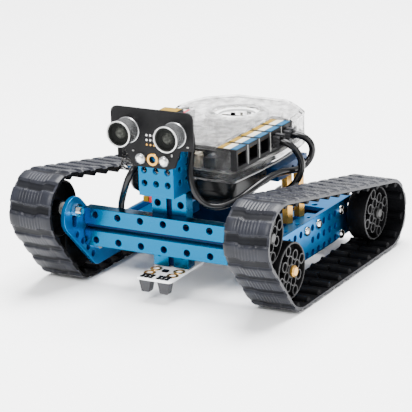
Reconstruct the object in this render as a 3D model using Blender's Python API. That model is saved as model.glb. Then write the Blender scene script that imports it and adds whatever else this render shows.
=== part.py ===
"""Tracked robot built from a perforated aluminium kit.

Two rubber crawler belts run on three wheels a side.  A cross beam joins the
side plates, a mast on it carries a distance sensor, and a clear electronics
case stands on rails behind the mast.

The robot drives towards -Y, stands on Z = 0 and is centred on X = 0.
Sizes below are in millimetres; meshes are made in metres.
"""

import math

import bmesh
import bpy
from mathutils import Matrix, Vector

MM = 0.001
GAP = 0.3                     # clearance between neighbouring pieces

# Hole grid of the kit
GRID = 8.0
BEAM_WIDTH = 3 * GRID
BEAM_DEPTH = 8.0
HOLE_R = 2.05
HOLE_SIDES = 8
SLOT_WIDTH = 3.4
SLOT_DEPTH = 2.2

# Wheels and belts (the axle positions are Y, Z)
LUG_R = 23.3                  # belt's outer radius over its lugs
LOWER_AXLE = (-50.1, LUG_R)
REAR_AXLE = (73.1, LUG_R)
UPPER_AXLE = (-73.1, 50.7)
WHEEL_R = 17.5
WHEEL_WIDTH = 12.8
WHEEL_SIDES = 18
RIM_INNER_R = 15.8
BORE_R = 2.35
AXLE_R = 2.0
WHEEL_X = {"upper": 71.6, "lower": 73.9, "rear": 71.6}
BELT_IN_X, BELT_OUT_X = 59.3, 88.7
BELT_INNER_R = 20.6
BELT_WEB_R = 21.8
TOOTH_TIP_R = 17.9
TOOTH_ROWS = ((63.0, 72.6), (74.6, 84.6))
BELT_PITCHES = 31
LUG_SHARE, TOOTH_SHARE = 0.68, 0.36

# Side plates
PLATE_IN_X, PLATE_OUT_X = 56.1, 59.0
PLATE_BOTTOM, PLATE_TOP = 8.4, 32.4
PLATE_REAR = 80.5
LOBE = (-72.6, 46.9)
LOBE_R = 11.8

# Cross beam and mast
CROSS_Z = 37.6
CROSS_FRONT_Y = -63.0
CROSS_HALF = 55.8
MAST_FRONT_Y = -54.7
MAST_BOTTOM, MAST_TOP = 16.2, 64.2

# Long beams, rails and case
LONG_X = 44.0
LONG_TOP = 29.4
LONG_FRONT, LONG_REAR = -25.5, 38.5
RAIL_Y0, RAIL_Y1 = -4.0, 36.0
STANDOFF_Y = (15.3, 31.3)
CASE_BOTTOM, CASE_SEAM, CASE_TOP = 70.0, 76.6, 93.0
CASE_WALL = 1.8
RAIL_TOP = CASE_BOTTOM - GAP
RAIL_SIDE = 8.0
RING_CENTRE = (0.0, 34.0)
OPENING_R = 15.0
PORT_PITCH = 14.6
PORT_COUNT = 5
PORT_FIRST_Y = -36.8
PORT_FACE_X = 41.4
PORT_INNER_X = 27.4
PORT_BOTTOM, PORT_TOP = 78.2, 91.4

# Distance sensor
BRACKET_T = 2.4
BRACKET_FRONT_Y = -69.0
BRACKET_BOTTOM, BRACKET_TOP = MAST_TOP + GAP, 91.6
BRACKET_HALF = 12.0
SENSOR_BOARD_Y = (-71.9, -70.3)
SENSOR_TOP, SENSOR_BOTTOM = 119.4, 83.4
EYE_X, EYE_Z, EYE_R = 16.0, 105.6, 8.0
EYE_FRONT_Y = -83.9
SENSOR_SCREW_Z = 88.6

CABLE_R = 2.1

MATERIALS = {
    #  slot             colour                      roughness metallic
    "blue_aluminium": ((0.010, 0.330, 0.760, 1.0), 0.32, 0.85),
    "rubber": ((0.030, 0.032, 0.036, 1.0), 0.55, 0.0),
    "black_plastic": ((0.022, 0.022, 0.024, 1.0), 0.40, 0.0),
    "wheel_plastic": ((0.020, 0.020, 0.022, 1.0), 0.35, 0.0),
    "steel": ((0.620, 0.630, 0.640, 1.0), 0.28, 1.0),
    "brass": ((0.700, 0.500, 0.200, 1.0), 0.25, 1.0),
    "spacer_plastic": ((0.620, 0.620, 0.600, 1.0), 0.50, 0.0),
    "clear_plastic": ((0.860, 0.870, 0.880, 0.30), 0.08, 0.0),
    "black_board": ((0.012, 0.013, 0.016, 1.0), 0.35, 0.0),
    "white_board": ((0.800, 0.810, 0.800, 1.0), 0.35, 0.0),
    "cable": ((0.018, 0.018, 0.019, 1.0), 0.45, 0.0),
}


# ---------------------------------------------------------------- helpers
def clear_scene():
    for obj in list(bpy.data.objects):
        bpy.data.objects.remove(obj, do_unlink=True)


def make_materials():
    for name, (colour, roughness, metallic) in MATERIALS.items():
        mat = bpy.data.materials.new(name)
        mat.use_nodes = True
        shader = mat.node_tree.nodes["Principled BSDF"]
        shader.inputs["Base Color"].default_value = colour
        shader.inputs["Roughness"].default_value = roughness
        shader.inputs["Metallic"].default_value = metallic
        shader.inputs["Alpha"].default_value = colour[3]
        mat.diffuse_color = colour


def finish_mesh(name, bm, slot, smooth=True):
    """Turn a bmesh in millimetres into a named object in metres."""
    bmesh.ops.remove_doubles(bm, verts=bm.verts, dist=1e-4)
    bmesh.ops.recalc_face_normals(bm, faces=bm.faces)
    bmesh.ops.scale(bm, vec=(MM, MM, MM), verts=bm.verts)
    mesh = bpy.data.meshes.new(name)
    bm.to_mesh(mesh)
    bm.free()
    obj = bpy.data.objects.new(name, mesh)
    bpy.context.scene.collection.objects.link(obj)
    if slot:
        mesh.materials.append(bpy.data.materials[slot])
    if smooth:
        smooth_by_angle(mesh)
    return obj


def smooth_by_angle(mesh):
    mesh.polygons.foreach_set("use_smooth", [True] * len(mesh.polygons))
    mesh.set_sharp_from_angle(angle=math.radians(35))


def add_box(bm, x, y, z):
    """Add an axis-aligned box; x, y and z are (low, high) pairs."""
    size = Vector((x[1] - x[0], y[1] - y[0], z[1] - z[0]))
    centre = Vector((x[0] + x[1], y[0] + y[1], z[0] + z[1])) / 2
    matrix = Matrix.Translation(centre) @ Matrix.Diagonal((*size, 1.0))
    bmesh.ops.create_cube(bm, size=1.0, matrix=matrix)


AXIS_TURN = {
    "X": Matrix.Rotation(math.pi / 2, 4, "Y"),
    "Y": Matrix.Rotation(-math.pi / 2, 4, "X"),
    "Z": Matrix.Identity(4),
}


def add_cylinder(bm, axis, centre, radius, length, sides=HOLE_SIDES):
    """Add a closed cylinder along a world axis, centred on a point."""
    turn = Matrix.Rotation(math.pi / sides, 4, "Z")
    matrix = Matrix.Translation(centre) @ AXIS_TURN[axis] @ turn
    bmesh.ops.create_cone(bm, cap_ends=True, segments=sides, radius1=radius,
                          radius2=radius, depth=length, matrix=matrix)


def add_prism(bm, outline, axis, low, high):
    """Extrude an outline of (a, b) points from low to high along an axis."""
    place = {
        "X": lambda a, b, t: (t, a, b),
        "Y": lambda a, b, t: (a, t, b),
        "Z": lambda a, b, t: (a, b, t),
    }[axis]
    add_loft(bm, [[place(a, b, t) for a, b in outline] for t in (low, high)])


def add_loft(bm, rings):
    """Skin closed rings of equal length and cap both ends."""
    rows = [[bm.verts.new(point) for point in ring] for ring in rings]
    count = len(rows[0])
    for lower, upper in zip(rows, rows[1:]):
        for i in range(count):
            j = (i + 1) % count
            bm.faces.new((lower[i], lower[j], upper[j], upper[i]))
    bm.faces.new(list(reversed(rows[0])))
    bm.faces.new(rows[-1])


def add_turned(bm, profile, centre, axis="X", sides=WHEEL_SIDES):
    """Revolve a closed profile of (along, radius) points about an axis."""
    turn = {"X": Matrix.Identity(4), "Y": Matrix.Rotation(math.pi / 2, 4, "Z")}[axis]
    place = Matrix.Translation(centre) @ turn
    rings = []
    for i in range(sides):
        angle = 2 * math.pi * i / sides
        ring = []
        for along, radius in profile:
            point = (along, radius * math.cos(angle), radius * math.sin(angle))
            ring.append(bm.verts.new(place @ Vector(point)))
        rings.append(ring)
    count = len(profile)
    for i in range(sides):
        near, far = rings[i], rings[(i + 1) % sides]
        for k in range(count):
            m = (k + 1) % count
            if profile[k][1] == 0 and profile[m][1] == 0:
                continue
            bm.faces.new((near[k], far[k], far[m], near[m]))
    bmesh.ops.remove_doubles(bm, verts=bm.verts, dist=1e-5)


def cut(obj, cutter_bm, operation="DIFFERENCE"):
    """Apply one exact boolean with everything in cutter_bm."""
    cutter = finish_mesh("cutter", cutter_bm, None, smooth=False)
    cutter.hide_render = True
    cutter.display_type = "WIRE"
    modifier = obj.modifiers.new("cut", "BOOLEAN")
    modifier.operation = operation
    modifier.solver = "EXACT"
    modifier.object = cutter
    bpy.context.view_layer.update()
    graph = bpy.context.evaluated_depsgraph_get()
    mesh = bpy.data.meshes.new_from_object(obj.evaluated_get(graph))
    obj.modifiers.remove(modifier)
    mesh.name = obj.name
    obj.data = mesh
    smooth_by_angle(mesh)
    bpy.data.objects.remove(cutter, do_unlink=True)


def arc(centre, radius, start, end, steps):
    """Points on an arc; angles in degrees, both ends included."""
    points = []
    for i in range(steps + 1):
        angle = math.radians(start + (end - start) * i / steps)
        points.append((centre[0] + radius * math.cos(angle),
                       centre[1] + radius * math.sin(angle)))
    return points


def rounded_rect(width, height, radius, centre=(0.0, 0.0), steps=3):
    cx, cy = centre
    dx, dy = width / 2 - radius, height / 2 - radius
    corners = ((dx, dy, 0), (-dx, dy, 90), (-dx, -dy, 180), (dx, -dy, 270))
    points = []
    for x, y, start in corners:
        points += arc((cx + x, cy + y), radius, start, start + 90, steps)
    return points


def steps_between(low, high, step):
    count = int(round((high - low) / step))
    return [low + i * step for i in range(count + 1)]


# ------------------------------------------------------------------ frame
def make_cross_beam():
    bm = bmesh.new()
    back = CROSS_FRONT_Y + BEAM_DEPTH
    half, slot = BEAM_WIDTH / 2, SLOT_WIDTH / 2
    outline = [
        (CROSS_FRONT_Y, -half), (back, -half), (back, half),
        (CROSS_FRONT_Y, half), (CROSS_FRONT_Y, slot),
        (CROSS_FRONT_Y + SLOT_DEPTH, slot), (CROSS_FRONT_Y + SLOT_DEPTH, -slot),
        (CROSS_FRONT_Y, -slot),
    ]
    outline = [(y, z + CROSS_Z) for y, z in outline]
    add_prism(bm, outline, "X", -CROSS_HALF, CROSS_HALF)
    beam = finish_mesh("cross_beam", bm, "blue_aluminium")
    holes = bmesh.new()
    for x in steps_between(-6 * GRID, 6 * GRID, 2 * GRID):
        for z in (CROSS_Z - GRID, CROSS_Z + GRID):
            add_cylinder(holes, "Y", (x, CROSS_FRONT_Y + 4, z), HOLE_R, 12)
    for side in (-1, 1):
        for z in (CROSS_Z - GRID, CROSS_Z + GRID):
            add_cylinder(holes, "X", (side * CROSS_HALF, CROSS_FRONT_Y + 4, z),
                         HOLE_R, 7)
    cut(beam, holes)


def make_mast():
    bm = bmesh.new()
    back = MAST_FRONT_Y + BEAM_DEPTH
    half, slot = BEAM_WIDTH / 2, SLOT_WIDTH / 2
    outline = [
        (-half, MAST_FRONT_Y), (-slot, MAST_FRONT_Y),
        (-slot, MAST_FRONT_Y + SLOT_DEPTH), (slot, MAST_FRONT_Y + SLOT_DEPTH),
        (slot, MAST_FRONT_Y), (half, MAST_FRONT_Y), (half, back), (-half, back),
    ]
    add_prism(bm, outline, "Z", MAST_BOTTOM, MAST_TOP)
    mast = finish_mesh("mast_beam", bm, "blue_aluminium")
    holes = bmesh.new()
    for z in steps_between(MAST_BOTTOM + GRID, MAST_TOP - GRID, 2 * GRID):
        for x in (-GRID, GRID):
            add_cylinder(holes, "Y", (x, MAST_FRONT_Y + 4, z), HOLE_R, 12)
    cut(mast, holes)


def side_plate_outline():
    """Bent plate: a long foot with an arm rising at 135 degrees to a lobe."""
    outline = arc((-47.5, PLATE_BOTTOM + 8), 8, 225, 270, 2)
    outline += arc((PLATE_REAR - 5, PLATE_BOTTOM + 5), 5, 270, 360, 3)
    outline += arc((PLATE_REAR - 5, PLATE_TOP - 5), 5, 0, 90, 3)
    bend = LOBE[0] + LOBE[1] + LOBE_R * math.sqrt(2) - PLATE_TOP
    outline.append((bend, PLATE_TOP))
    outline += arc(LOBE, LOBE_R, 45, 225, 8)
    return outline


def make_side_plate(side, word):
    bm = bmesh.new()
    low, high = sorted((side * PLATE_IN_X, side * PLATE_OUT_X))
    add_prism(bm, side_plate_outline(), "X", low, high)
    plate = finish_mesh(f"side_plate_{word}", bm, "blue_aluminium")
    middle = side * (PLATE_IN_X + PLATE_OUT_X) / 2
    holes = bmesh.new()
    rows = (PLATE_BOTTOM + 2.2, PLATE_BOTTOM + 10.2, PLATE_BOTTOM + 18.2)
    for y in steps_between(-20.0, 52.0, GRID):
        for z in rows:
            if z != rows[1] or y >= 20.0:
                add_cylinder(holes, "X", (middle, y, z), HOLE_R, 5)
    diagonal = GRID / math.sqrt(2)
    for step in range(4):
        add_cylinder(holes, "X", (middle, -70.6 + step * diagonal,
                                  34.2 - step * diagonal), HOLE_R, 5)
    for z in (CROSS_Z - GRID, CROSS_Z + GRID):
        add_cylinder(holes, "X", (middle, CROSS_FRONT_Y + 4, z), HOLE_R, 5)
    add_cylinder(holes, "X", (middle, *LOWER_AXLE), BORE_R, 5)
    add_cylinder(holes, "X", (middle, *REAR_AXLE), 5.0, 5, 14)
    cut(plate, holes)
    slot = bmesh.new()
    ends = arc((UPPER_AXLE[0], UPPER_AXLE[1]), 2.5, 0, 180, 5)
    ends += arc((UPPER_AXLE[0], UPPER_AXLE[1] - 8.5), 2.5, 180, 360, 5)
    add_prism(slot, ends, "X", middle - 3, middle + 3)
    cut(plate, slot)


def make_long_beam(side, word):
    """Flat beam inside the side plate, with the standoffs in its slot."""
    bm = bmesh.new()
    half, slot = BEAM_WIDTH / 2, SLOT_WIDTH / 2
    top, bottom = LONG_TOP, LONG_TOP - BEAM_DEPTH
    outline = [
        (-half, bottom), (half - GAP, bottom), (half - GAP, top), (slot, top),
        (slot, top - SLOT_DEPTH), (-slot, top - SLOT_DEPTH), (-slot, top),
        (-half, top),
    ]
    outline = [(side * (x + LONG_X), z) for x, z in outline]
    add_prism(bm, outline, "Y", LONG_FRONT, LONG_REAR)
    beam = finish_mesh(f"long_beam_{word}", bm, "blue_aluminium")
    holes = bmesh.new()
    for y in steps_between(LONG_FRONT + GRID, LONG_REAR - GRID, 2 * GRID):
        for x in (LONG_X - GRID, LONG_X + GRID):
            add_cylinder(holes, "Z", (side * x, y, top - 4), HOLE_R, 12)
    cut(beam, holes)


def make_motor_mount(side, word):
    """Angle bracket: the motor's front face bolts to its upright wall."""
    bm = bmesh.new()
    wall_out = side * (PLATE_IN_X - GAP)
    wall_in = side * (PLATE_IN_X - GAP - 2.6)
    reach = side * 30.0
    outline = [
        (wall_out, PLATE_BOTTOM), (wall_out, LONG_TOP + 2.3),
        (reach, LONG_TOP + 2.3), (reach, LONG_TOP - 0.3),
        (wall_in, LONG_TOP - 0.3), (wall_in, PLATE_BOTTOM),
    ]
    add_prism(bm, outline, "Y", 45.0, 77.0)
    mount = finish_mesh(f"motor_mount_{word}", bm, "blue_aluminium")
    holes = bmesh.new()
    for y in (49.0, 65.0):
        for x in (38.0, 46.0):
            add_cylinder(holes, "Z", (side * x, y, LONG_TOP + 1), HOLE_R, 8)
    add_cylinder(holes, "X", (side * 54.5, *REAR_AXLE), 3.8, 6)
    cut(mount, holes)
    return mount


def make_rear_beam():
    bm = bmesh.new()
    add_box(bm, (-52.8, 52.8), (46.5, 54.5), (PLATE_BOTTOM - 3.9, LONG_TOP - 0.9))
    beam = finish_mesh("rear_beam", bm, "blue_aluminium")
    holes = bmesh.new()
    centre = (PLATE_BOTTOM - 3.9 + LONG_TOP - 0.9) / 2
    for x in steps_between(-3 * GRID, 3 * GRID, 2 * GRID):
        for z in (centre - GRID, centre + GRID):
            add_cylinder(holes, "Y", (x, 50.5, z), HOLE_R, 12)
    cut(beam, holes)


def make_rail(side, word):
    bm = bmesh.new()
    low, high = sorted((side * (LONG_X - RAIL_SIDE / 2), side * (LONG_X + RAIL_SIDE / 2)))
    add_box(bm, (low, high), (RAIL_Y0, RAIL_Y1), (RAIL_TOP - RAIL_SIDE, RAIL_TOP))
    rail = finish_mesh(f"case_rail_{word}", bm, "blue_aluminium")
    holes = bmesh.new()
    for y in steps_between(RAIL_Y0 + 4, RAIL_Y1 - 4, GRID):
        add_cylinder(holes, "X", (side * LONG_X, y, RAIL_TOP - 4), 1.6, 12, 8)
    cut(rail, holes)


def make_standoff(side, word, index, y):
    bm = bmesh.new()
    bottom, top = LONG_TOP + 0.05, RAIL_TOP - RAIL_SIDE - 0.05
    add_cylinder(bm, "Z", (side * LONG_X, y, (bottom + top) / 2), 3.75,
                 top - bottom, 6)
    finish_mesh(f"standoff_{word}_{index}", bm, "brass")


# ------------------------------------------------------- wheels and belts
def make_wheel(side, word, place, axle):
    """Open-faced wheel: rim, web with a ring of windows and a bored hub."""
    bm = bmesh.new()
    half = WHEEL_WIDTH / 2
    profile = [
        (-half, WHEEL_R), (half, WHEEL_R), (half, RIM_INNER_R),
        (half - 1.0, RIM_INNER_R), (half - 1.0, BORE_R), (-half, BORE_R),
        (-half, 5.0), (half - 4.0, 5.0), (half - 4.0, RIM_INNER_R),
        (-half, RIM_INNER_R),
    ]
    profile = [(side * along, radius) for along, radius in profile]
    add_turned(bm, profile, (0, 0, 0))
    wheel = finish_mesh(f"wheel_{place}_{word}", bm, "wheel_plastic")
    windows = bmesh.new()
    for i in range(6):
        angle = math.radians(60 * i)
        centre = (side * (half - 2.5), 10.4 * math.cos(angle), 10.4 * math.sin(angle))
        add_cylinder(windows, "X", centre, 3.2, 6, 6)
    cut(wheel, windows)
    wheel.location = Vector((side * WHEEL_X[place], *axle)) * MM


def make_axle(side, word, place, axle):
    """Bolt through the wheel, spacer and plate, with its nut run on."""
    centre = WHEEL_X[place]
    outer = centre + WHEEL_WIDTH / 2
    profile = [
        (outer + 2.6, 0), (outer + 2.6, 2.6), (outer + 1.6, 3.6),
        (outer + GAP, 3.6), (outer + GAP, AXLE_R), (PLATE_IN_X - GAP, AXLE_R),
        (PLATE_IN_X - GAP, 3.8), (PLATE_IN_X - 3.5, 3.8),
        (PLATE_IN_X - 3.5, AXLE_R), (PLATE_IN_X - 6.0, AXLE_R),
        (PLATE_IN_X - 6.0, 0),
    ]
    if place == "upper":
        profile = [point if point[1] != 3.8 else (point[0], 4.2) for point in profile]
    bm = bmesh.new()
    add_turned(bm, [(side * along, radius) for along, radius in profile],
               (0, *axle), sides=12)
    finish_mesh(f"axle_{place}_{word}", bm, "steel")
    spacer = bmesh.new()
    low, high = PLATE_OUT_X + 0.2, centre - WHEEL_WIDTH / 2 - GAP
    ring = [(low, BORE_R), (high, BORE_R), (high, 4.0), (low, 4.0)]
    add_turned(spacer, [(side * along, radius) for along, radius in ring],
               (0, *axle), sides=16)
    finish_mesh(f"spacer_{place}_{word}", spacer, "spacer_plastic")


def make_drive(side, word):
    """Motor body and its output shaft with the screw that holds the wheel."""
    outer = WHEEL_X["rear"] + WHEEL_WIDTH / 2
    profile = [
        (outer + 2.6, 0), (outer + 2.6, 2.6), (outer + 1.6, 3.6),
        (outer + GAP, 3.6), (outer + GAP, AXLE_R), (PLATE_IN_X - 2.9 - GAP, AXLE_R),
        (PLATE_IN_X - 2.9 - GAP, 0),
    ]
    shaft = bmesh.new()
    add_turned(shaft, [(side * along, radius) for along, radius in profile],
               (0, 0, 0), sides=12)
    obj = finish_mesh(f"drive_shaft_{word}", shaft, "steel")
    obj.location = Vector((0, *REAR_AXLE)) * MM

    body = bmesh.new()
    face, tail = PLATE_IN_X - 2.9 - 2 * GAP, 4.5
    centre = (REAR_AXLE[0], REAR_AXLE[1] - 6.0)
    gearbox = rounded_rect(23.0, 21.6, 6.0, centre)
    can = rounded_rect(20.4, 15.6, 7.0, centre)
    rings = []
    for x, outline in ((face, gearbox), (face - 21, gearbox), (face - 21, can),
                       (tail, can)):
        rings.append([(side * x, y, z) for y, z in outline])
    add_loft(body, rings)
    finish_mesh(f"motor_{word}", body, "steel")


class BeltPath:
    """Closed path around three equal circles, measured along one radius."""

    def __init__(self, centres, radius):
        self.pieces = []
        self.radius = radius
        count = len(centres)
        lines = []
        for i in range(count):
            start = Vector(centres[i])
            end = Vector(centres[(i + 1) % count])
            along = (end - start).normalized()
            lines.append((start, end, along))
        for i in range(count):
            start, end, along = lines[i]
            self.pieces.append(("line", start, along, (end - start).length))
            following = lines[(i + 1) % count][2]
            turn = along.angle_signed(following)
            self.pieces.append(("arc", end, along, abs(turn) * radius))
        self.length = sum(piece[3] for piece in self.pieces)

    def place(self, distance, radius):
        """Point at a distance along the path, offset to a radius."""
        distance %= self.length
        for kind, origin, along, length in self.pieces:
            if distance <= length:
                break
            distance -= length
        if kind == "line":
            outward = Vector((-along.y, along.x))
            point = origin + along * distance
        else:
            angle = -distance / self.radius
            outward = Vector((-along.y, along.x))
            outward.rotate(Matrix.Rotation(angle, 2))
            point = origin
        return point + outward * radius


def make_belt(side, word):
    path = BeltPath([LOWER_AXLE, UPPER_AXLE, REAR_AXLE], BELT_INNER_R)
    pitch = path.length / BELT_PITCHES
    shares = (0.0, TOOTH_SHARE, LUG_SHARE)
    stations = [(i + share) * pitch for i in range(BELT_PITCHES) for share in shares]
    inner_x = [BELT_IN_X, *TOOTH_ROWS[0], *TOOTH_ROWS[1], BELT_OUT_X]
    bm = bmesh.new()
    rings = []
    for distance in stations:
        outer = path.place(distance, BELT_WEB_R)
        inner = path.place(distance, BELT_INNER_R)
        ring = [bm.verts.new((side * x, *outer)) for x in (BELT_IN_X, BELT_OUT_X)]
        ring += [bm.verts.new((side * x, *inner)) for x in reversed(inner_x)]
        rings.append(ring)
    lugs, teeth = [], []
    count = len(rings[0])
    for i, ring in enumerate(rings):
        following = rings[(i + 1) % len(rings)]
        for k in range(count):
            m = (k + 1) % count
            face = bm.faces.new((ring[k], ring[m], following[m], following[k]))
            if k == 0 and i % 3 != 2:
                lugs.append(face)
            if k in (3, 5) and i % 3 == 0:
                teeth.append(face)
    bmesh.ops.recalc_face_normals(bm, faces=bm.faces)
    raise_blocks(bm, lugs, LUG_R)
    raise_blocks(bm, teeth, TOOTH_TIP_R)
    finish_mesh(f"belt_{word}", bm, "rubber")


def raise_blocks(bm, faces, radius):
    """Lift a region of faces off the belt to another radius."""
    result = bmesh.ops.extrude_face_region(bm, geom=faces)
    verts = [item for item in result["geom"] if isinstance(item, bmesh.types.BMVert)]
    for vert in verts:
        centre = nearest_on_core(Vector((vert.co.y, vert.co.z)))
        outward = (Vector((vert.co.y, vert.co.z)) - centre).normalized()
        point = centre + outward * radius
        vert.co.y, vert.co.z = point
    bmesh.ops.delete(bm, geom=[face for face in faces if face.is_valid], context="FACES_ONLY")


def nearest_on_core(point):
    """Nearest point on the triangle of axles that the belt runs around."""
    corners = [Vector(LOWER_AXLE), Vector(UPPER_AXLE), Vector(REAR_AXLE)]
    best = None
    for start, end in zip(corners, corners[1:] + corners[:1]):
        along = end - start
        share = max(0.0, min(1.0, (point - start).dot(along) / along.length_squared))
        candidate = start + along * share
        if best is None or (candidate - point).length < (best - point).length:
            best = candidate
    return best


# ------------------------------------------------------------------- case
def case_outline(inset=0.0):
    """Plan of the case: shallow bulging sides and a chamfered tail."""
    half = [
        (36.5, -45.0), (39.6, -43.6), (40.6, -40.0), (42.8, -15.0), (43.4, 12.0),
        (42.4, 36.0), (40.4, 48.0), (36.8, 56.0), (25.0, 67.0), (18.0, 71.0),
    ]
    centre = Vector((0.0, 12.0))
    points = half + [(-x, y) for x, y in reversed(half)]
    if not inset:
        return points
    moved = []
    count = len(points)
    for i in range(count):
        before = Vector(points[i - 1])
        here = Vector(points[i])
        after = Vector(points[(i + 1) % count])
        normal = ((here - before).normalized() + (after - here).normalized())
        normal = Vector((-normal.y, normal.x)).normalized()
        if normal.dot(centre - here) < 0:
            normal.negate()
        moved.append(tuple(here + normal * inset))
    return moved


def case_rings(levels):
    return [[(x, y, z) for x, y in case_outline(inset)] for z, inset in levels]


def make_case():
    tray = bmesh.new()
    add_loft(tray, case_rings(((CASE_BOTTOM, 2.0), (CASE_BOTTOM + 2.0, 0.0),
                               (CASE_SEAM, 0.0))))
    base = finish_mesh("case_base", tray, "clear_plastic")
    hollow = bmesh.new()
    add_loft(hollow, case_rings(((CASE_BOTTOM + CASE_WALL, 3.2),
                                 (CASE_BOTTOM + 3.2, CASE_WALL),
                                 (CASE_SEAM + 2, CASE_WALL))))
    cut(base, hollow)
    posts = bmesh.new()
    for x in (-30.0, 30.0):
        for y in (-34.0, 46.0):
            add_cylinder(posts, "Z", (x, y, CASE_BOTTOM + 3.0), 3.0, 4.6, 8)
    cut(base, posts, "UNION")

    lid = bmesh.new()
    add_loft(lid, case_rings(((CASE_SEAM + 0.15, 0.0), (CASE_TOP - 2.6, 0.0),
                              (CASE_TOP, 2.8))))
    cover = finish_mesh("case_cover", lid, "clear_plastic")
    inside = bmesh.new()
    add_loft(inside, case_rings(((CASE_SEAM - 2, CASE_WALL),
                                 (CASE_TOP - 3.4, CASE_WALL),
                                 (CASE_TOP - CASE_WALL, 4.0))))
    cut(cover, inside)
    openings = bmesh.new()
    add_cylinder(openings, "Z", (*RING_CENTRE, CASE_TOP), OPENING_R, 8, 24)
    first = PORT_FIRST_Y - PORT_PITCH / 2 - GAP
    last = PORT_FIRST_Y + (PORT_COUNT - 0.5) * PORT_PITCH + GAP
    for side in (-1, 1):
        low, high = sorted((side * (PORT_INNER_X - GAP), side * 60.0))
        add_box(openings, (low, high), (first, last), (PORT_BOTTOM - 0.6, CASE_TOP + 4))
    cut(cover, openings)

    board = bmesh.new()
    plan = case_outline(CASE_WALL + 0.8)
    add_prism(board, plan, "Z", CASE_SEAM - 0.9, CASE_SEAM + 0.7)
    finish_mesh("circuit_board", board, "black_board")


def make_line_gland():
    """Collar on the case's front wall that the line sensor's cable leaves by."""
    x, _, z = CABLE_ROUTES["line_cable"][0]
    wall = case_outline()[0][1]
    bm = bmesh.new()
    profile = [
        (wall - GAP, CABLE_R + GAP), (wall - GAP, 4.4), (wall - 1.6, 4.4),
        (wall - 3.6, 3.4), (wall - 3.6, CABLE_R + GAP),
    ]
    add_turned(bm, profile, (x, 0, z), "Y", 16)
    finish_mesh("line_gland", bm, "black_plastic")


def make_ports(side, word):
    """Row of modular jacks, one moulded block with a socket in each."""
    bm = bmesh.new()
    first = PORT_FIRST_Y - PORT_PITCH / 2
    last = first + PORT_COUNT * PORT_PITCH
    low, high = sorted((side * PORT_INNER_X, side * PORT_FACE_X))
    add_box(bm, (low, high), (first, last), (PORT_BOTTOM, PORT_TOP))
    row = finish_mesh(f"port_row_{word}", bm, "black_plastic")
    pockets = bmesh.new()
    for i in range(PORT_COUNT):
        y = PORT_FIRST_Y + i * PORT_PITCH
        low, high = sorted((side * (PORT_FACE_X - 9.0), side * (PORT_FACE_X + 2.0)))
        add_box(pockets, (low, high), (y - 4.9, y + 4.9), (80.6, 88.6))
    cut(row, pockets)


def make_light_ring():
    """Ring of lights under the case's round opening, on three legs."""
    bm = bmesh.new()
    top = CASE_TOP - CASE_WALL - 0.6
    ring = [(top - 1.6, 12.0), (top, 12.0), (top, 20.5), (top - 1.6, 20.5)]
    count = 24
    rings = []
    for i in range(count):
        angle = 2 * math.pi * i / count
        rings.append([bm.verts.new((RING_CENTRE[0] + r * math.cos(angle),
                                    RING_CENTRE[1] + r * math.sin(angle), z))
                      for z, r in ring])
    for i in range(count):
        near, far = rings[i], rings[(i + 1) % count]
        for k in range(4):
            m = (k + 1) % 4
            bm.faces.new((near[k], far[k], far[m], near[m]))
    obj = finish_mesh("light_ring", bm, "white_board")
    legs = bmesh.new()
    foot = CASE_SEAM + 0.7 + GAP
    for i in range(3):
        angle = math.radians(90 + 120 * i)
        add_cylinder(legs, "Z", (RING_CENTRE[0] + 16 * math.cos(angle),
                                 RING_CENTRE[1] + 16 * math.sin(angle),
                                 (foot + top - 0.8) / 2), 1.5, top - 0.8 - foot, 8)
    cut(obj, legs, "UNION")


def make_battery_box():
    bm = bmesh.new()
    levels = ((54.0, 66.0, 54.0), (55.5, 71.0, 59.0), (60.0, 74.0, 62.0),
              (CASE_BOTTOM - GAP, 74.0, 62.0))
    rings = []
    for z, width, length in levels:
        outline = rounded_rect(width, length, 7.0, (0.0, -11.5))
        rings.append([(x, y, z) for x, y in outline])
    add_loft(bm, rings)
    finish_mesh("battery_box", bm, "black_plastic")


# -------------------------------------------------------- distance sensor
def make_sensor_bracket():
    """Corner bracket: face, right flange and a foot on the mast's end."""
    t, half = BRACKET_T, BRACKET_HALF
    back = BRACKET_FRONT_Y + BEAM_WIDTH
    bm = bmesh.new()
    add_box(bm, (-half, half), (BRACKET_FRONT_Y, back), (BRACKET_BOTTOM, BRACKET_TOP))
    bracket = finish_mesh("sensor_bracket", bm, "blue_aluminium")
    waste = bmesh.new()
    add_box(waste, (-half - 5, half - t), (BRACKET_FRONT_Y + t, back + 5),
            (BRACKET_BOTTOM + t, BRACKET_TOP + 5))
    cut(bracket, waste)
    holes = bmesh.new()
    for x in (-GRID, 0.0, GRID):
        for row in range(3):
            z = SENSOR_SCREW_Z - row * GRID
            add_cylinder(holes, "Y", (x, BRACKET_FRONT_Y + t / 2, z), HOLE_R, t + 3)
    for y in (-61.0, -53.0):
        for row in range(3):
            z = SENSOR_SCREW_Z - row * GRID
            add_cylinder(holes, "X", (half - t / 2, y, z), HOLE_R, t + 3)
    cut(bracket, holes)


def make_sensor_board():
    low, high = SENSOR_BOARD_Y
    outline = [(-11.0, SENSOR_BOTTOM), (11.0, SENSOR_BOTTOM), (15.0, 84.9),
               (19.0, 95.6), (28.0, 96.6)]
    outline += arc((24.0, SENSOR_TOP - 4), 4.0, 0, 90, 3)
    outline += arc((-24.0, SENSOR_TOP - 4), 4.0, 90, 180, 3)
    outline += [(-28.0, 96.6), (-19.0, 95.6), (-15.0, 84.9)]
    bm = bmesh.new()
    add_prism(bm, outline, "Y", low, high)
    board = finish_mesh("sensor_board", bm, "black_board")
    holes = bmesh.new()
    for x in (-GRID, 0.0, GRID):
        add_cylinder(holes, "Y", (x, (low + high) / 2, SENSOR_SCREW_Z), HOLE_R, 5)
    cut(board, holes)


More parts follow.
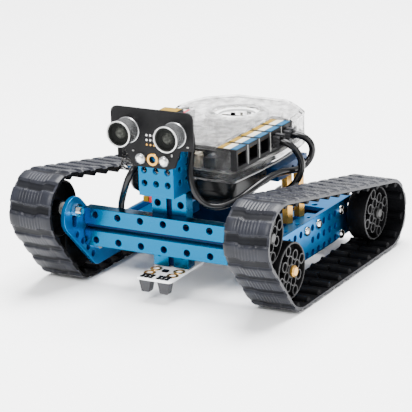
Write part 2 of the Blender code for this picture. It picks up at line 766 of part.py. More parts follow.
def make_eyes():
    back = SENSOR_BOARD_Y[0] - 0.05
    for side, word in ((-1, "left"), (1, "right")):
        bm = bmesh.new()
        profile = [
            (back, 0), (back, EYE_R), (EYE_FRONT_Y + 0.6, EYE_R),
            (EYE_FRONT_Y, EYE_R - 0.6), (EYE_FRONT_Y, EYE_R - 1.3),
            (EYE_FRONT_Y + 1.8, EYE_R - 1.3), (EYE_FRONT_Y + 1.8, 0),
        ]
        add_turned(bm, profile, (side * EYE_X, 0, EYE_Z), "Y", 20)
        finish_mesh(f"eye_{word}", bm, "steel")


def make_sensor_jack():
    bm = bmesh.new()
    add_box(bm, (1.0, 14.0), (SENSOR_BOARD_Y[1] + 0.05, -57.0), (103.5, 117.5))
    jack = finish_mesh("sensor_jack", bm, "black_plastic")
    pocket = bmesh.new()
    add_box(pocket, (2.6, 12.4), (-65.5, -54.0), (106.4, 114.4))
    cut(jack, pocket)


def make_sensor_screws():
    """Pan-head screws through the board and bracket, with their nuts."""
    front, back = SENSOR_BOARD_Y[0], BRACKET_FRONT_Y + BRACKET_T
    for side, word in ((-1, "left"), (1, "right")):
        bm = bmesh.new()
        profile = [
            (front - 2.4, 0), (front - 2.2, 2.0), (front - 1.2, 3.3),
            (front - 0.1, 3.5), (front - 0.1, 1.5), (back + 0.1, 1.5),
            (back + 2.4, 1.5), (back + 2.4, 0),
        ]
        if side < 0:
            profile[6:7] = [(back + 0.1, 3.6), (back + 2.4, 3.6)]
        add_turned(bm, profile, (side * GRID, 0, SENSOR_SCREW_Z), "Y", 12)
        finish_mesh(f"sensor_screw_{word}", bm, "steel")


# ---------------------------------------------------------- line follower
def make_line_follower():
    top = MAST_BOTTOM - 0.9
    bm = bmesh.new()
    add_prism(bm, rounded_rect(24.0, 43.0, 2.0, (0.0, -55.5), 2), "Z", top - 1.6, top)
    board = finish_mesh("line_board", bm, "white_board")
    holes = bmesh.new()
    for x in (-GRID, GRID):
        for y in (-67.0, -59.0):
            add_cylinder(holes, "Z", (x, y, top - 0.8), HOLE_R, 5)
    cut(board, holes)
    for side, word in ((-1, "left"), (1, "right")):
        bm = bmesh.new()
        x = side * 6.4
        rings = []
        for z, half in ((6.0, 2.6), (top - 1.65, 4.4)):
            rings.append([(x - half, -76.0, z), (x + half, -76.0, z),
                          (x + half, -70.6, z), (x - half, -70.6, z)])
        add_loft(bm, rings)
        finish_mesh(f"line_eye_{word}", bm, "black_plastic")
    bm = bmesh.new()
    add_box(bm, (-6.5, 6.5), (-46.2, -34.4), (top + 0.05, top + 12.0))
    jack = finish_mesh("line_jack", bm, "black_plastic")
    pocket = bmesh.new()
    add_box(pocket, (-4.9, 4.9), (-42.4, -32.0), (top + 2.2, top + 10.0))
    cut(jack, pocket)


# ----------------------------------------------------------------- cables
CABLE_ROUTES = {
    "sensor_cable": [
        (7.5, -61.5, 110.4), (7.6, -56.4, 110.6), (8.4, -51.8, 109.6),
        (10.2, -47.8, 106.2), (12.6, -46.8, 100.4), (14.5, -49.2, 94.0),
        (15.2, -52.6, 86.8), (15.5, -55.2, 77.6), (17.4, -55.8, 67.8),
        (22.0, -53.6, 59.4), (29.5, -50.5, 56.0), (37.2, -46.5, 58.0),
        (43.2, -39.6, 62.4), (47.0, -29.0, 66.6), (49.2, -15.0, 69.0),
        (50.9, -2.0, 68.3), (51.6, 8.0, 66.1), (52.6, 16.6, 65.0),
        (54.8, 23.4, 67.4), (57.0, 26.2, 73.4), (56.6, 25.4, 79.6),
        (53.2, 23.4, 83.8), (47.6, 21.9, 85.2), (41.8, 21.6, 84.8),
        (35.5, 21.6, 84.8),
    ],
    "motor_cable_right": [
        (35.5, 7.0, 84.7), (42.6, 7.0, 84.7), (48.8, 7.4, 84.0),
        (53.4, 8.6, 80.4), (56.4, 10.0, 75.0), (57.5, 10.4, 69.2),
        (56.8, 8.8, 63.2), (53.6, 6.2, 57.6), (48.0, 4.2, 52.8),
        (41.2, 4.8, 49.0), (34.4, 10.0, 46.0), (29.0, 20.6, 43.2),
        (26.2, 34.0, 41.6), (24.0, 46.6, 41.0), (22.0, 57.0, 38.6),
        (21.0, 63.4, 33.0), (21.0, 65.6, 26.0),
    ],
    "line_cable": [
        (-20.0, -45.6, 80.0), (-20.0, -50.2, 80.0), (-20.4, -55.4, 79.4),
        (-21.8, -60.0, 76.0), (-24.6, -61.2, 70.2), (-28.8, -58.4, 62.8),
        (-34.0, -53.4, 54.6), (-38.4, -48.6, 45.2), (-38.4, -42.8, 35.8),
        (-32.6, -35.6, 28.0), (-24.2, -27.4, 23.4), (-16.6, -20.6, 21.5),
        (-8.8, -18.0, 21.3), (-2.2, -21.0, 21.3), (0.2, -27.4, 21.3),
        (0.0, -33.6, 21.4), (0.0, -40.4, 21.4),
    ],
}


def smooth_route(points, spacing):
    """Walk a cubic B-spline along the points at even spacing."""
    ghost = [2 * Vector(points[0]) - Vector(points[1])]
    ghost += [Vector(point) for point in points]
    ghost.append(2 * Vector(points[-1]) - Vector(points[-2]))
    fine = []
    for i in range(1, len(ghost) - 2):
        p0, p1, p2, p3 = ghost[i - 1:i + 3]
        for step in range(16):
            t = step / 16
            fine.append(((1 - t) ** 3 * p0 + (3 * t ** 3 - 6 * t ** 2 + 4) * p1
                         + (-3 * t ** 3 + 3 * t ** 2 + 3 * t + 1) * p2 + t ** 3 * p3) / 6)
    fine.append(ghost[-2])
    total = sum((b - a).length for a, b in zip(fine, fine[1:]))
    count = max(2, round(total / spacing))
    wanted = [total * i / count for i in range(count + 1)]
    route, walked, index = [fine[0]], 0.0, 0
    for distance in wanted[1:-1]:
        while walked + (fine[index + 1] - fine[index]).length < distance:
            walked += (fine[index + 1] - fine[index]).length
            index += 1
        length = (fine[index + 1] - fine[index]).length
        route.append(fine[index].lerp(fine[index + 1], (distance - walked) / length))
    route.append(fine[-1])
    return route


def make_cable(name, points):
    route = smooth_route(points, 2.5 * CABLE_R)
    curve = bpy.data.curves.new(name, "CURVE")
    curve.dimensions = "3D"
    curve.bevel_depth = CABLE_R * MM
    curve.bevel_resolution = 2
    curve.use_fill_caps = True
    spline = curve.splines.new("POLY")
    spline.points.add(len(route) - 1)
    for target, point in zip(spline.points, route):
        target.co = (*(point * MM), 1.0)
    obj = bpy.data.objects.new(name, curve)
    bpy.context.scene.collection.objects.link(obj)
    curve.materials.append(bpy.data.materials["cable"])


# ------------------------------------------------------------------ build
def build():
    clear_scene()
    make_materials()
    make_cross_beam()
    make_mast()
    make_rear_beam()
    for side, word in ((-1, "left"), (1, "right")):
        make_side_plate(side, word)
        make_long_beam(side, word)
        make_motor_mount(side, word)
        make_rail(side, word)
        for index, y in enumerate(STANDOFF_Y, 1):
            make_standoff(side, word, index, y)
        for place, axle in (("upper", UPPER_AXLE), ("lower", LOWER_AXLE)):
            make_wheel(side, word, place, axle)
            make_axle(side, word, place, axle)
        make_wheel(side, word, "rear", REAR_AXLE)
        make_drive(side, word)
        make_belt(side, word)
        make_ports(side, word)
    make_case()
    make_line_gland()
    make_light_ring()
    make_battery_box()
    make_sensor_bracket()
    make_sensor_board()
    make_eyes()
    make_sensor_jack()
    make_sensor_screws()
    make_line_follower()
    for name, points in CABLE_ROUTES.items():
        make_cable(name, points)


build()
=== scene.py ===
"""Looks of the tracked robot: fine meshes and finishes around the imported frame."""

import math
import random

import bmesh
import bpy
from mathutils import Euler, Matrix, Vector


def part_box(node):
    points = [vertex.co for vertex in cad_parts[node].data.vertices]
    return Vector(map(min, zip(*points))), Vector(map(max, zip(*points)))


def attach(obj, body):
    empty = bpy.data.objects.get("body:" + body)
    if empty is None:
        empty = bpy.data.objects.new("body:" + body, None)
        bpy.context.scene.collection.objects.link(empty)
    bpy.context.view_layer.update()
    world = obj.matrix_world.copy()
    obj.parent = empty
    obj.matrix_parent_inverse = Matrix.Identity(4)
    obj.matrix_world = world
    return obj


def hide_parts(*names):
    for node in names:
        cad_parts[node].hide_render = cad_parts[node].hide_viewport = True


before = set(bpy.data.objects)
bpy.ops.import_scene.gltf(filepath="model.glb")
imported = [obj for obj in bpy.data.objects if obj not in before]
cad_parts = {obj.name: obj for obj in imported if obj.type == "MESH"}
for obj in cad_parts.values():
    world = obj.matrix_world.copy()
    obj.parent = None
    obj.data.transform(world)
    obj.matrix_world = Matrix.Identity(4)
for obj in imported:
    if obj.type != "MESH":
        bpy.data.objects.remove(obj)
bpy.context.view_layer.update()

# The frame is in metres. Lengths below are in millimetres, but for camera and lights.
MM = 0.001
GRID = 8.0
HOLE_R = 2.05
WELD_REACH = 0.01
HOLE_SIDES = 24
BEAM_CUT, PLATE_CUT = 14, 8
SIDES = ((-1, "left"), (1, "right"))

# Wheels and belts. Each axle is (Y, Z)
AXLES = {"lower": (-50.1, 23.3), "upper": (-73.1, 50.7), "rear": (73.1, 23.3)}
AXLE_BORE_R = 2.35
AXLE_END_X = 66.0             # the part of an axle beyond this has its own colour: brass on the lower axles, and dark steel, painted shade, on the upper axles
WHEEL_R, WHEEL_WIDTH = 17.5, 12.8
BELT_X = (59.3, 88.7)
BELT_INNER_R, BELT_WEB_R, LUG_R, TOOTH_TIP_R = 20.6, 21.8, 23.3, 17.9
BELT_PITCHES = 31
LUG_SHARE, TOOTH_SHARE = 0.68, 0.36
TOOTH_ROWS = ((60.9, 72.6), (74.6, 86.8))

# Side plates. The lobe carries the upper axle
PLATE_X = (56.1, 59.0)
PLATE_Z = (8.4, 32.4)
PLATE_REAR = 80.5
LOBE, LOBE_R = (-72.6, 46.9), 11.8

# Sensor, case, sockets and cables
EYE_R = 8.0
SENSOR_SCREW_Z = 88.6
BOARD_TOP = 77.3
BOARD_SEAT = BOARD_TOP + 0.05  # parts on the board start just above it
CASE_SEAM = 76.6
RING_CENTRE = (0.0, 34.0)
PORT_FIRST_Y, PORT_PITCH, PORT_COUNT = -36.8, 14.6, 5
PORT_SIDE = 41.4
PORT_TOP = 91.4
PORT_Z = 84.7
CABLE_R = 2.1

random.seed(7)


# ============================================================= materials
CLOUD_LEVELS = (0.32, 0.68)   # noise between these fades from darker to lighter
LEAST_ROUGHNESS = 0.02
GRAIN_HEIGHT = 0.0002         # metres
CLEAR_IOR = 1.13
HAZE_SLOPE = (0.72, 0.97)     # upward part of the normal where haze starts and is full


def link(tree, a, b):
    tree.links.new(a, b)


def surface(name, colour, roughness, metallic=0.0, mottle=0.12, mottle_scale=60.0,
            grain=0.04, grain_scale=1800.0, stretch=(1, 1, 1), specular=0.5, spread=0.06):
    """Finish with cloudy colour, uneven gloss and a fine raised grain."""
    mat = bpy.data.materials.new(name)
    mat.use_nodes = True
    tree = mat.node_tree
    shader = tree.nodes["Principled BSDF"]
    shader.inputs["Metallic"].default_value = metallic
    shader.inputs["Specular IOR Level"].default_value = specular
    coords = tree.nodes.new("ShaderNodeTexCoord")
    mapping = tree.nodes.new("ShaderNodeMapping")
    mapping.inputs["Scale"].default_value = stretch
    link(tree, coords.outputs["Object"], mapping.inputs["Vector"])

    cloud = tree.nodes.new("ShaderNodeTexNoise")
    cloud.inputs["Scale"].default_value = mottle_scale
    cloud.inputs["Detail"].default_value = 5.0
    link(tree, mapping.outputs["Vector"], cloud.inputs["Vector"])
    ramp = tree.nodes.new("ShaderNodeValToRGB")
    dark, light = ramp.color_ramp.elements
    dark.position, light.position = CLOUD_LEVELS
    dark.color = (*[c * (1 - mottle) for c in colour], 1)
    light.color = (*[min(1, c * (1 + mottle)) for c in colour], 1)
    link(tree, cloud.outputs["Fac"], ramp.inputs["Fac"])
    link(tree, ramp.outputs["Color"], shader.inputs["Base Color"])

    fine = tree.nodes.new("ShaderNodeTexNoise")
    fine.inputs["Scale"].default_value = grain_scale
    fine.inputs["Detail"].default_value = 3.0
    link(tree, mapping.outputs["Vector"], fine.inputs["Vector"])
    gloss = tree.nodes.new("ShaderNodeMapRange")
    gloss.inputs["To Min"].default_value = max(LEAST_ROUGHNESS, roughness - spread)
    gloss.inputs["To Max"].default_value = roughness + spread
    link(tree, cloud.outputs["Fac"], gloss.inputs["Value"])
    link(tree, gloss.outputs["Result"], shader.inputs["Roughness"])
    bump = tree.nodes.new("ShaderNodeBump")
    bump.inputs["Strength"].default_value = grain
    bump.inputs["Distance"].default_value = GRAIN_HEIGHT
    link(tree, fine.outputs["Fac"], bump.inputs["Height"])
    link(tree, bump.outputs["Normal"], shader.inputs["Normal"])
    return mat


def clear_surface(name, tint, transmission_top, transmission_side):
    """Clear plastic with cloudy patches in its tint, standing partly for faint marks and partly
    for painted reflections, hazier where it faces up.
    """
    mat = surface(name, tint, 0.05, mottle=0.55, mottle_scale=210, grain=0.30,
                  grain_scale=330, specular=0.35, spread=0.03)
    tree = mat.node_tree
    shader = tree.nodes["Principled BSDF"]
    shader.inputs["IOR"].default_value = CLEAR_IOR
    geometry = tree.nodes.new("ShaderNodeNewGeometry")
    split = tree.nodes.new("ShaderNodeSeparateXYZ")
    link(tree, geometry.outputs["True Normal"], split.inputs["Vector"])
    haze = tree.nodes.new("ShaderNodeMapRange")
    haze.inputs["From Min"].default_value = HAZE_SLOPE[0]
    haze.inputs["From Max"].default_value = HAZE_SLOPE[1]
    haze.inputs["To Min"].default_value = transmission_side
    haze.inputs["To Max"].default_value = transmission_top
    link(tree, split.outputs["Z"], haze.inputs["Value"])
    link(tree, haze.outputs["Result"], shader.inputs["Transmission Weight"])
    return mat


BLUE = surface("blue_anodised", (0.0001, 0.087, 0.185), 0.27, 1.0, mottle=0.05,
               grain=0.05, grain_scale=1500, stretch=(0.25, 1, 1), specular=0.0, spread=0.04)
# Second copy of the blue anodising, less metallic and of another tone: painted shading for parts
# and faces the light meets differently.
BLUE_SHADING_COPY = surface("blue_anodised_painted_shading", (0.0004, 0.150, 0.400), 0.30, 0.80, mottle=0.08,
                    grain=0.05, grain_scale=1500, specular=0.05, spread=0.05)
# Dark copy of the blue for the case rails: painted shade under the case.
BLUE_RAIL_SHADE = surface("blue_anodised_rail_painted_shade", (0.0003, 0.022, 0.075), 0.36, 0.80, mottle=0.10,
                    grain=0.05, grain_scale=1500, specular=0.05)
# Near-black copy of the blue for the rear beam: painted shade.
BLUE_PAINTED_SHADE = surface("blue_anodised_painted_shade", (0.0004, 0.010, 0.036), 0.40, 0.60, mottle=0.15,
                     grain=0.05, grain_scale=1500, specular=0.05)
# Dark navy for beam hole walls and groove floors: painted shade.
HOLE_SHADE_NAVY = surface("hole_painted_shade_navy", (0.001, 0.010, 0.050), 0.55, mottle=0.2, specular=0.1)
# Dark blue for the side plates' hole walls: painted shade.
HOLE_SHADE_BLUE = surface("hole_painted_shade_blue", (0.001, 0.030, 0.130), 0.55, mottle=0.2, specular=0.1)
RUBBER = surface("tread_rubber", (0.0078, 0.0086, 0.0130), 0.38, mottle=0.32, grain=0.10,
                 grain_scale=1300, mottle_scale=90, specular=0.20, spread=0.12)
# Darker copy of the rubber for the belt's inside: painted shade.
RUBBER_INNER_SHADE = surface("tread_rubber_inner_painted_shade", (0.0030, 0.0031, 0.0038), 0.60, mottle=0.3,
                      grain=0.10, grain_scale=1300, specular=0.05, spread=0.08)
# Darker copy of the rubber for the web between lugs: painted shade.
RUBBER_GAP_SHADE = surface("tread_rubber_gap_painted_shade", (0.0026, 0.0029, 0.0045), 0.44, mottle=0.3,
                     grain=0.10, grain_scale=1300, specular=0.11, spread=0.08)
WHEEL_BLACK = surface("wheel_black", (0.0035, 0.0035, 0.004), 0.45, mottle=0.2, grain=0.06,
                      specular=0.07)
WHEEL_EDGE = surface("wheel_edge_grey", (0.042, 0.042, 0.043), 0.45, mottle=0.35, grain=0.06,
                     specular=0.15)
BLACK = surface("moulded_black", (0.0030, 0.0030, 0.0035), 0.36, mottle=0.2, grain=0.05,
                specular=0.07)
GLOSS_BLACK = surface("battery_black", (0.0022, 0.0026, 0.0028), 0.24, mottle=0.2,
                      grain=0.02, specular=0.10, spread=0.05)
BOARD = surface("solder_mask_black", (0.0055, 0.0055, 0.0060), 0.42, mottle=0.25,
                mottle_scale=160, grain=0.03, specular=0.09)
CASE_BOARD = surface("circuit_board_grey", (0.10, 0.098, 0.095), 0.45, mottle=0.75,
                     mottle_scale=190, grain=0.05, specular=0.2)
WHITE_BOARD = surface("solder_mask_white", (0.86, 0.87, 0.87), 0.32, mottle=0.04, grain=0.02)
STEEL = surface("plated_steel", (0.70, 0.69, 0.67), 0.17, 1.0, mottle=0.10, grain=0.03)
# Dark copy of the steel: painted shade on the drive shafts and upper axle ends.
SHADOWED_STEEL = surface("shadowed_steel", (0.030, 0.030, 0.030), 0.40, 0.8, mottle=0.2,
                      grain=0.04)
CAN = surface("spun_aluminium", (0.40, 0.405, 0.41), 0.25, 0.92, mottle=0.12,
              mottle_scale=60, grain=0.015, stretch=(1, 0.1, 1))
# Bright metal: the solder's own colour, and on the eyes' rims a painted highlight.
BRIGHT_SOLDER_AND_RIM_HIGHLIGHT = surface("solder_and_rim_painted_highlight", (0.66, 0.66, 0.65), 0.28, 0.5, mottle=0.06, grain=0.02)
BRASS = surface("turned_brass", (0.56, 0.30, 0.060), 0.26, 0.70, mottle=0.06, grain=0.02,
                stretch=(1, 1, 0.2))
GOLD = surface("gold_plate", (0.52, 0.28, 0.06), 0.24, 0.9, mottle=0.06, grain=0.02)
NYLON = surface("grey_nylon", (0.26, 0.26, 0.25), 0.45, mottle=0.10, grain=0.06)
CABLE = surface("cable_sheath", (0.0028, 0.0028, 0.0032), 0.22, mottle=0.15, grain=0.03,
                specular=0.26, spread=0.05)
DARK_MESH = surface("dark_mesh", (0.012, 0.013, 0.012), 0.50, 0.5, mottle=0.2, specular=0.1)
# Dark grey of the cone, also put on the can's inner lip and wall as painted shade.
CONE_AND_CAN_SHADE = surface("grey_cone_and_can_painted_shade", (0.012, 0.013, 0.012), 0.55, 0.2, mottle=0.4, specular=0.1)
# Lighter grey at the cone's centre: painted reflection.
CONE_TIP_REFLECTION = surface("grey_cone_painted_reflection", (0.110, 0.115, 0.100), 0.40, 0.4, mottle=0.5,
                   mottle_scale=300, specular=0.3)
CREAM = surface("cream_plastic", (0.46, 0.41, 0.32), 0.40, mottle=0.08)
RED = surface("red_plastic", (0.42, 0.008, 0.016), 0.36, mottle=0.08, specular=0.2)
PART_GREY = surface("grey_part", (0.26, 0.26, 0.25), 0.36, mottle=0.2)
LABEL_BLUE = surface("label_blue", (0.003, 0.058, 0.125), 0.42, mottle=0.15, specular=0.12)
LABEL_WHITE = surface("label_white", (0.42, 0.40, 0.34), 0.42, mottle=0.12, specular=0.2)
LABEL_YELLOW = surface("label_yellow", (0.190, 0.112, 0.004), 0.42, mottle=0.15,
                       specular=0.12)
LABEL_RED = surface("label_red", (0.360, 0.022, 0.050), 0.42, mottle=0.15, specular=0.12)
SENSOR_GREY = surface("sensor_grey", (0.034, 0.034, 0.037), 0.45, mottle=0.2, specular=0.2)
# Pale plastic for the port dividers, also put along the case seam as a painted highlight.
PALE_DIVIDER_AND_SEAM_HIGHLIGHT = surface("pale_divider_and_seam_highlight", (0.26, 0.26, 0.25), 0.30, mottle=0.08)
CLEAR = clear_surface("clear_case", (0.84, 0.825, 0.82), 0.86, 0.985)
CLEAR_PLUG = clear_surface("clear_plug", (0.10, 0.10, 0.105), 0.70, 0.80)


# =============================================================== helpers
def add_box(bm, x, y, z):
    corners = [bm.verts.new((a, b, c)) for c in z for b in y for a in x]
    for loop in ((0, 2, 3, 1), (4, 5, 7, 6), (0, 1, 5, 4), (2, 6, 7, 3), (0, 4, 6, 2),
                 (1, 3, 7, 5)):
        bm.faces.new([corners[i] for i in loop])


def add_skin(bm, pairs):
    """Quads between each pair of equal, closed rings of vertices."""
    for a, b in pairs:
        for i in range(len(a)):
            j = (i + 1) % len(a)
            bm.faces.new((a[i], a[j], b[j], b[i]))


def add_loft(bm, rings):
    """Closed skin through equal rings, capped at both ends."""
    made = [[bm.verts.new(point) for point in ring] for ring in rings]
    add_skin(bm, zip(made, made[1:]))
    bm.faces.new(list(reversed(made[0])))
    bm.faces.new(made[-1])


def on_axis(axis, along, a, b):
    """Point at a distance along the axis, and at a and b on the other two axes."""
    return {"X": (along, a, b), "Y": (a, along, b), "Z": (a, b, along)}[axis]


def add_prism(bm, outline, axis, low, high):
    add_loft(bm, [[on_axis(axis, level, *point) for point in outline]
                  for level in (low, high)])


def add_cylinder(bm, axis, centre, radius, length, sides=HOLE_SIDES, turn=0.0):
    along = {"X": 0, "Y": 1, "Z": 2}[axis]
    flat = [centre[i] for i in range(3) if i != along]
    ring = [(flat[0] + radius * math.cos(turn + 2 * math.pi * i / sides),
             flat[1] + radius * math.sin(turn + 2 * math.pi * i / sides))
            for i in range(sides)]
    add_prism(bm, ring, axis, centre[along] - length / 2, centre[along] + length / 2)


def add_turned(bm, profile, centre=(0, 0, 0), axis="X", sides=48, sockets=()):
    """Turn (along, radius) points round an axis.

    The points whose numbers are in sockets make hexagons instead of circles. A profile that
    starts and ends off the axis is closed on itself. Any other is merged at the axis.
    """
    rings = []
    for index, (along, radius) in enumerate(profile):
        ring = []
        for i in range(sides):
            angle = 2 * math.pi * i / sides
            reach = radius
            if index in sockets:
                reach /= math.cos((angle + math.pi / 6) % (math.pi / 3) - math.pi / 6)
            point = on_axis(axis, along, reach * math.cos(angle), reach * math.sin(angle))
            ring.append(tuple(p + c for p, c in zip(point, centre)))
        rings.append(ring)
    closed = profile[0][1] > 0.01 and profile[-1][1] > 0.01
    made = [[bm.verts.new(point) for point in ring] for ring in rings]
    add_skin(bm, zip(made, made[1:] + made[:1]) if closed else zip(made, made[1:]))
    if not closed:
        bmesh.ops.remove_doubles(bm, verts=made[0] + made[-1], dist=0.02)


def arc(centre, radius, start, end, steps):
    """Points from one angle to another, in degrees."""
    return [(centre[0] + radius * math.cos(math.radians(start + (end - start) * i / steps)),
             centre[1] + radius * math.sin(math.radians(start + (end - start) * i / steps)))
            for i in range(steps + 1)]


def rounded_rect(width, height, radius, centre=(0.0, 0.0), steps=8):
    points = []
    for sx, sy, start in ((1, 1, 0), (-1, 1, 90), (-1, -1, 180), (1, -1, 270)):
        middle = (centre[0] + sx * (width / 2 - radius), centre[1] + sy * (height / 2 - radius))
        points += arc(middle, radius, start, start + 90, steps)
    return points


def steps_between(low, high, step):
    return [low + i * step for i in range(int(round((high - low) / step)) + 1)]


def around(middle, width):
    return middle - width / 2, middle + width / 2


def span(side, low, high):
    """Range from low to high, on the left (side -1) or the right (side 1)."""
    return tuple(sorted((side * low, side * high)))


def box_mm(node):
    """Low and high corner of a CAD node, in millimetres."""
    return [Vector(corner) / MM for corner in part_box(node)]


def piece(name, bm, mats, body="chassis", nodes=(), cutters=None, wall=None,
          bevel=0.0, segments=2, smooth=38.0):
    """Turn a millimetre bmesh into a finished piece on its body."""
    bmesh.ops.recalc_face_normals(bm, faces=bm.faces)
    bmesh.ops.scale(bm, vec=(MM, MM, MM), verts=bm.verts)
    mesh = bpy.data.meshes.new(name)
    bm.to_mesh(mesh)
    bm.free()
    obj = bpy.data.objects.new(name, mesh)
    bpy.context.scene.collection.objects.link(obj)
    for mat in mats if isinstance(mats, (list, tuple)) else [mats]:
        mesh.materials.append(mat)
    if cutters is not None:
        cut(obj, cutters, wall)
    obj.data.shade_smooth()
    obj.data.set_sharp_from_angle(angle=math.radians(smooth))
    if bevel:
        soften(obj, bevel, segments)
    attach(obj, body)
    if nodes:
        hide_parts(*nodes)
    return obj


def cut(obj, cutter_bm, wall=None):
    """Take a millimetre bmesh away from a piece, and give the cut faces the wall material where
    one is given: painted shade in the holes.
    """
    bmesh.ops.recalc_face_normals(cutter_bm, faces=cutter_bm.faces)
    bmesh.ops.scale(cutter_bm, vec=(MM, MM, MM), verts=cutter_bm.verts)
    mesh = bpy.data.meshes.new("cutter")
    cutter_bm.to_mesh(mesh)
    cutter_bm.free()
    if wall:
        mesh.materials.append(wall)
    cutter = bpy.data.objects.new("cutter", mesh)
    bpy.context.scene.collection.objects.link(cutter)
    modifier = obj.modifiers.new("holes", "BOOLEAN")
    modifier.material_mode = "TRANSFER" if wall else "INDEX"
    modifier.object = cutter
    modifier.solver = "EXACT"
    graph = bpy.context.evaluated_depsgraph_get()
    result = bpy.data.meshes.new_from_object(obj.evaluated_get(graph))
    obj.modifiers.clear()
    obj.data = result
    bpy.data.objects.remove(cutter)


def soften(obj, width, segments=2):
    bevel = obj.modifiers.new("edges", "BEVEL")
    bevel.width = width * MM
    bevel.segments = segments
    bevel.limit_method = "ANGLE"
    bevel.angle_limit = math.radians(40)
    bevel.harden_normals = True


def dress(node, mat, width=0.25):
    """Keep a CAD node's shape, with softened edges and the given material, which for some nodes is
    painted shade or shading.
    """
    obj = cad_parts[node]
    obj.data.materials.clear()
    obj.data.materials.append(mat)
    weld = obj.modifiers.new("weld", "WELD")
    weld.merge_threshold = WELD_REACH * MM
    if width:
        soften(obj, width)


# ========================================================== camera, stage
# Everything in this part is in metres, and angles are in degrees
FLOOR_HALF, FLOOR_Z = 30.0, -0.0003
AIM = Vector((0.0016, -0.0123, 0.0429))
AZIMUTH, ELEVATION, ROLL = 29.56, 17.36, -1.85
DISTANCE = 1.40
LENS = 197.3                  # focal length in millimetres


def make_camera():
    a, e = math.radians(AZIMUTH), math.radians(ELEVATION)
    back = Vector((math.sin(a) * math.cos(e), -math.cos(a) * math.cos(e), math.sin(e)))
    camera = bpy.data.objects.new("camera", bpy.data.cameras.new("camera"))
    camera.data.lens = LENS
    camera.data.clip_start = 0.05
    camera.location = AIM + back * DISTANCE
    turn = Euler((math.pi / 2 - e, 0, a)).to_matrix() @ Matrix.Rotation(
        math.radians(ROLL), 3, "Z")
    camera.rotation_euler = turn.to_euler()
    bpy.context.scene.collection.objects.link(camera)
    bpy.context.scene.camera = camera


def make_light(name, place, size, power):
    lamp = bpy.data.lights.new(name, "AREA")
    lamp.energy, lamp.size = power, size
    obj = bpy.data.objects.new(name, lamp)
    obj.location = place
    obj.rotation_euler = (AIM - Vector(place)).to_track_quat("-Z", "Y").to_euler()
    bpy.context.scene.collection.objects.link(obj)


def make_stage():
    bm = bmesh.new()
    bmesh.ops.create_grid(bm, x_segments=8, y_segments=8, size=FLOOR_HALF)
    mesh = bpy.data.meshes.new("floor")
    bm.to_mesh(mesh)
    bm.free()
    floor = bpy.data.objects.new("floor", mesh)
    mesh.materials.append(surface("floor_pale", (0.96, 0.96, 0.96), 0.75, mottle=0.01,
                                  mottle_scale=3, grain=0.01, grain_scale=200, specular=0.2))
    bpy.context.scene.collection.objects.link(floor)
    floor.location.z = FLOOR_Z
    world = bpy.data.worlds.new("studio")
    bpy.context.scene.world = world
    world.use_nodes = True
    backdrop = world.node_tree.nodes["Background"]
    backdrop.inputs["Color"].default_value = (0.98, 0.985, 1.0, 1)
    backdrop.inputs["Strength"].default_value = 1.25
    make_light("key", (-0.1, -1.3, 1.2), 0.5, 30)
    make_light("fill", (1.4, -0.5, 0.7), 0.8, 8)
    make_light("top", (0.0, 0.35, 1.6), 1.2, 140)


# ================================================================= cables
MOTOR_ROUTE = [
    (35.5, 7.0, 84.7), (42.6, 7.0, 84.7), (48.8, 7.4, 84.0), (53.4, 8.6, 80.4),
    (56.4, 10.0, 75.0), (57.5, 10.4, 69.2), (56.8, 8.8, 63.2), (53.6, 6.2, 57.6),
    (48.0, 4.2, 52.8), (41.2, 4.8, 49.0), (34.4, 10.0, 46.0), (29.0, 20.6, 43.2),
    (26.2, 34.0, 41.6), (24.0, 46.6, 41.0), (22.0, 57.0, 38.6), (21.0, 63.4, 33.0),
    (21.0, 65.6, 26.0),
]
SENSOR_ROUTE = [
    (7.5, -61.5, 110.4), (7.6, -56.4, 110.6), (8.4, -51.8, 109.6), (10.2, -47.8, 106.2),
    (12.6, -46.8, 100.4), (14.5, -49.2, 94.0), (15.2, -52.6, 86.8), (15.5, -55.2, 77.6),
    (17.4, -55.8, 67.8), (22.0, -53.6, 59.4), (29.5, -50.5, 56.0), (37.2, -46.5, 58.0),
    (43.2, -39.6, 62.4), (47.0, -29.0, 66.6), (49.2, -15.0, 69.0), (50.9, -2.0, 68.3),
    (51.6, 8.0, 66.1), (52.6, 16.6, 65.0), (54.8, 23.4, 67.4), (57.0, 26.2, 73.4),
    (56.6, 25.4, 79.6), (53.2, 23.4, 83.8), (47.6, 21.9, 85.2), (41.8, 21.6, 84.8),
    (35.5, 21.6, 84.8),
]
LINE_ROUTE = [
    (-20.0, -45.6, 80.0), (-20.0, -50.2, 80.0), (-20.4, -55.4, 79.4), (-21.8, -60.0, 76.0),
    (-24.6, -61.2, 70.2), (-28.8, -58.4, 62.8), (-34.0, -53.4, 54.6), (-38.4, -48.6, 45.2),
    (-38.4, -42.8, 35.8), (-32.6, -35.6, 28.0), (-24.2, -27.4, 23.4), (-16.6, -20.6, 21.5),
    (-8.8, -18.0, 21.3), (-2.2, -21.0, 21.3), (0.2, -27.4, 21.3), (0.0, -33.6, 21.4),
    (0.0, -40.4, 21.4),
]


ROUTE_STEPS = 6


def smooth_route(points):
    """Cubic B-spline that starts and ends on the first and last point."""
    ghost = [2 * Vector(points[0]) - Vector(points[1])] + [Vector(p) for p in points]
    ghost.append(2 * Vector(points[-1]) - Vector(points[-2]))
    fine = []
    for i in range(1, len(ghost) - 2):
        p0, p1, p2, p3 = ghost[i - 1:i + 3]
        for step in range(ROUTE_STEPS):
            t = step / ROUTE_STEPS
            fine.append(((1 - t) ** 3 * p0 + (3 * t ** 3 - 6 * t ** 2 + 4) * p1
                         + (-3 * t ** 3 + 3 * t ** 2 + 3 * t + 1) * p2 + t ** 3 * p3) / 6)
    fine.append(ghost[-2])
    return fine


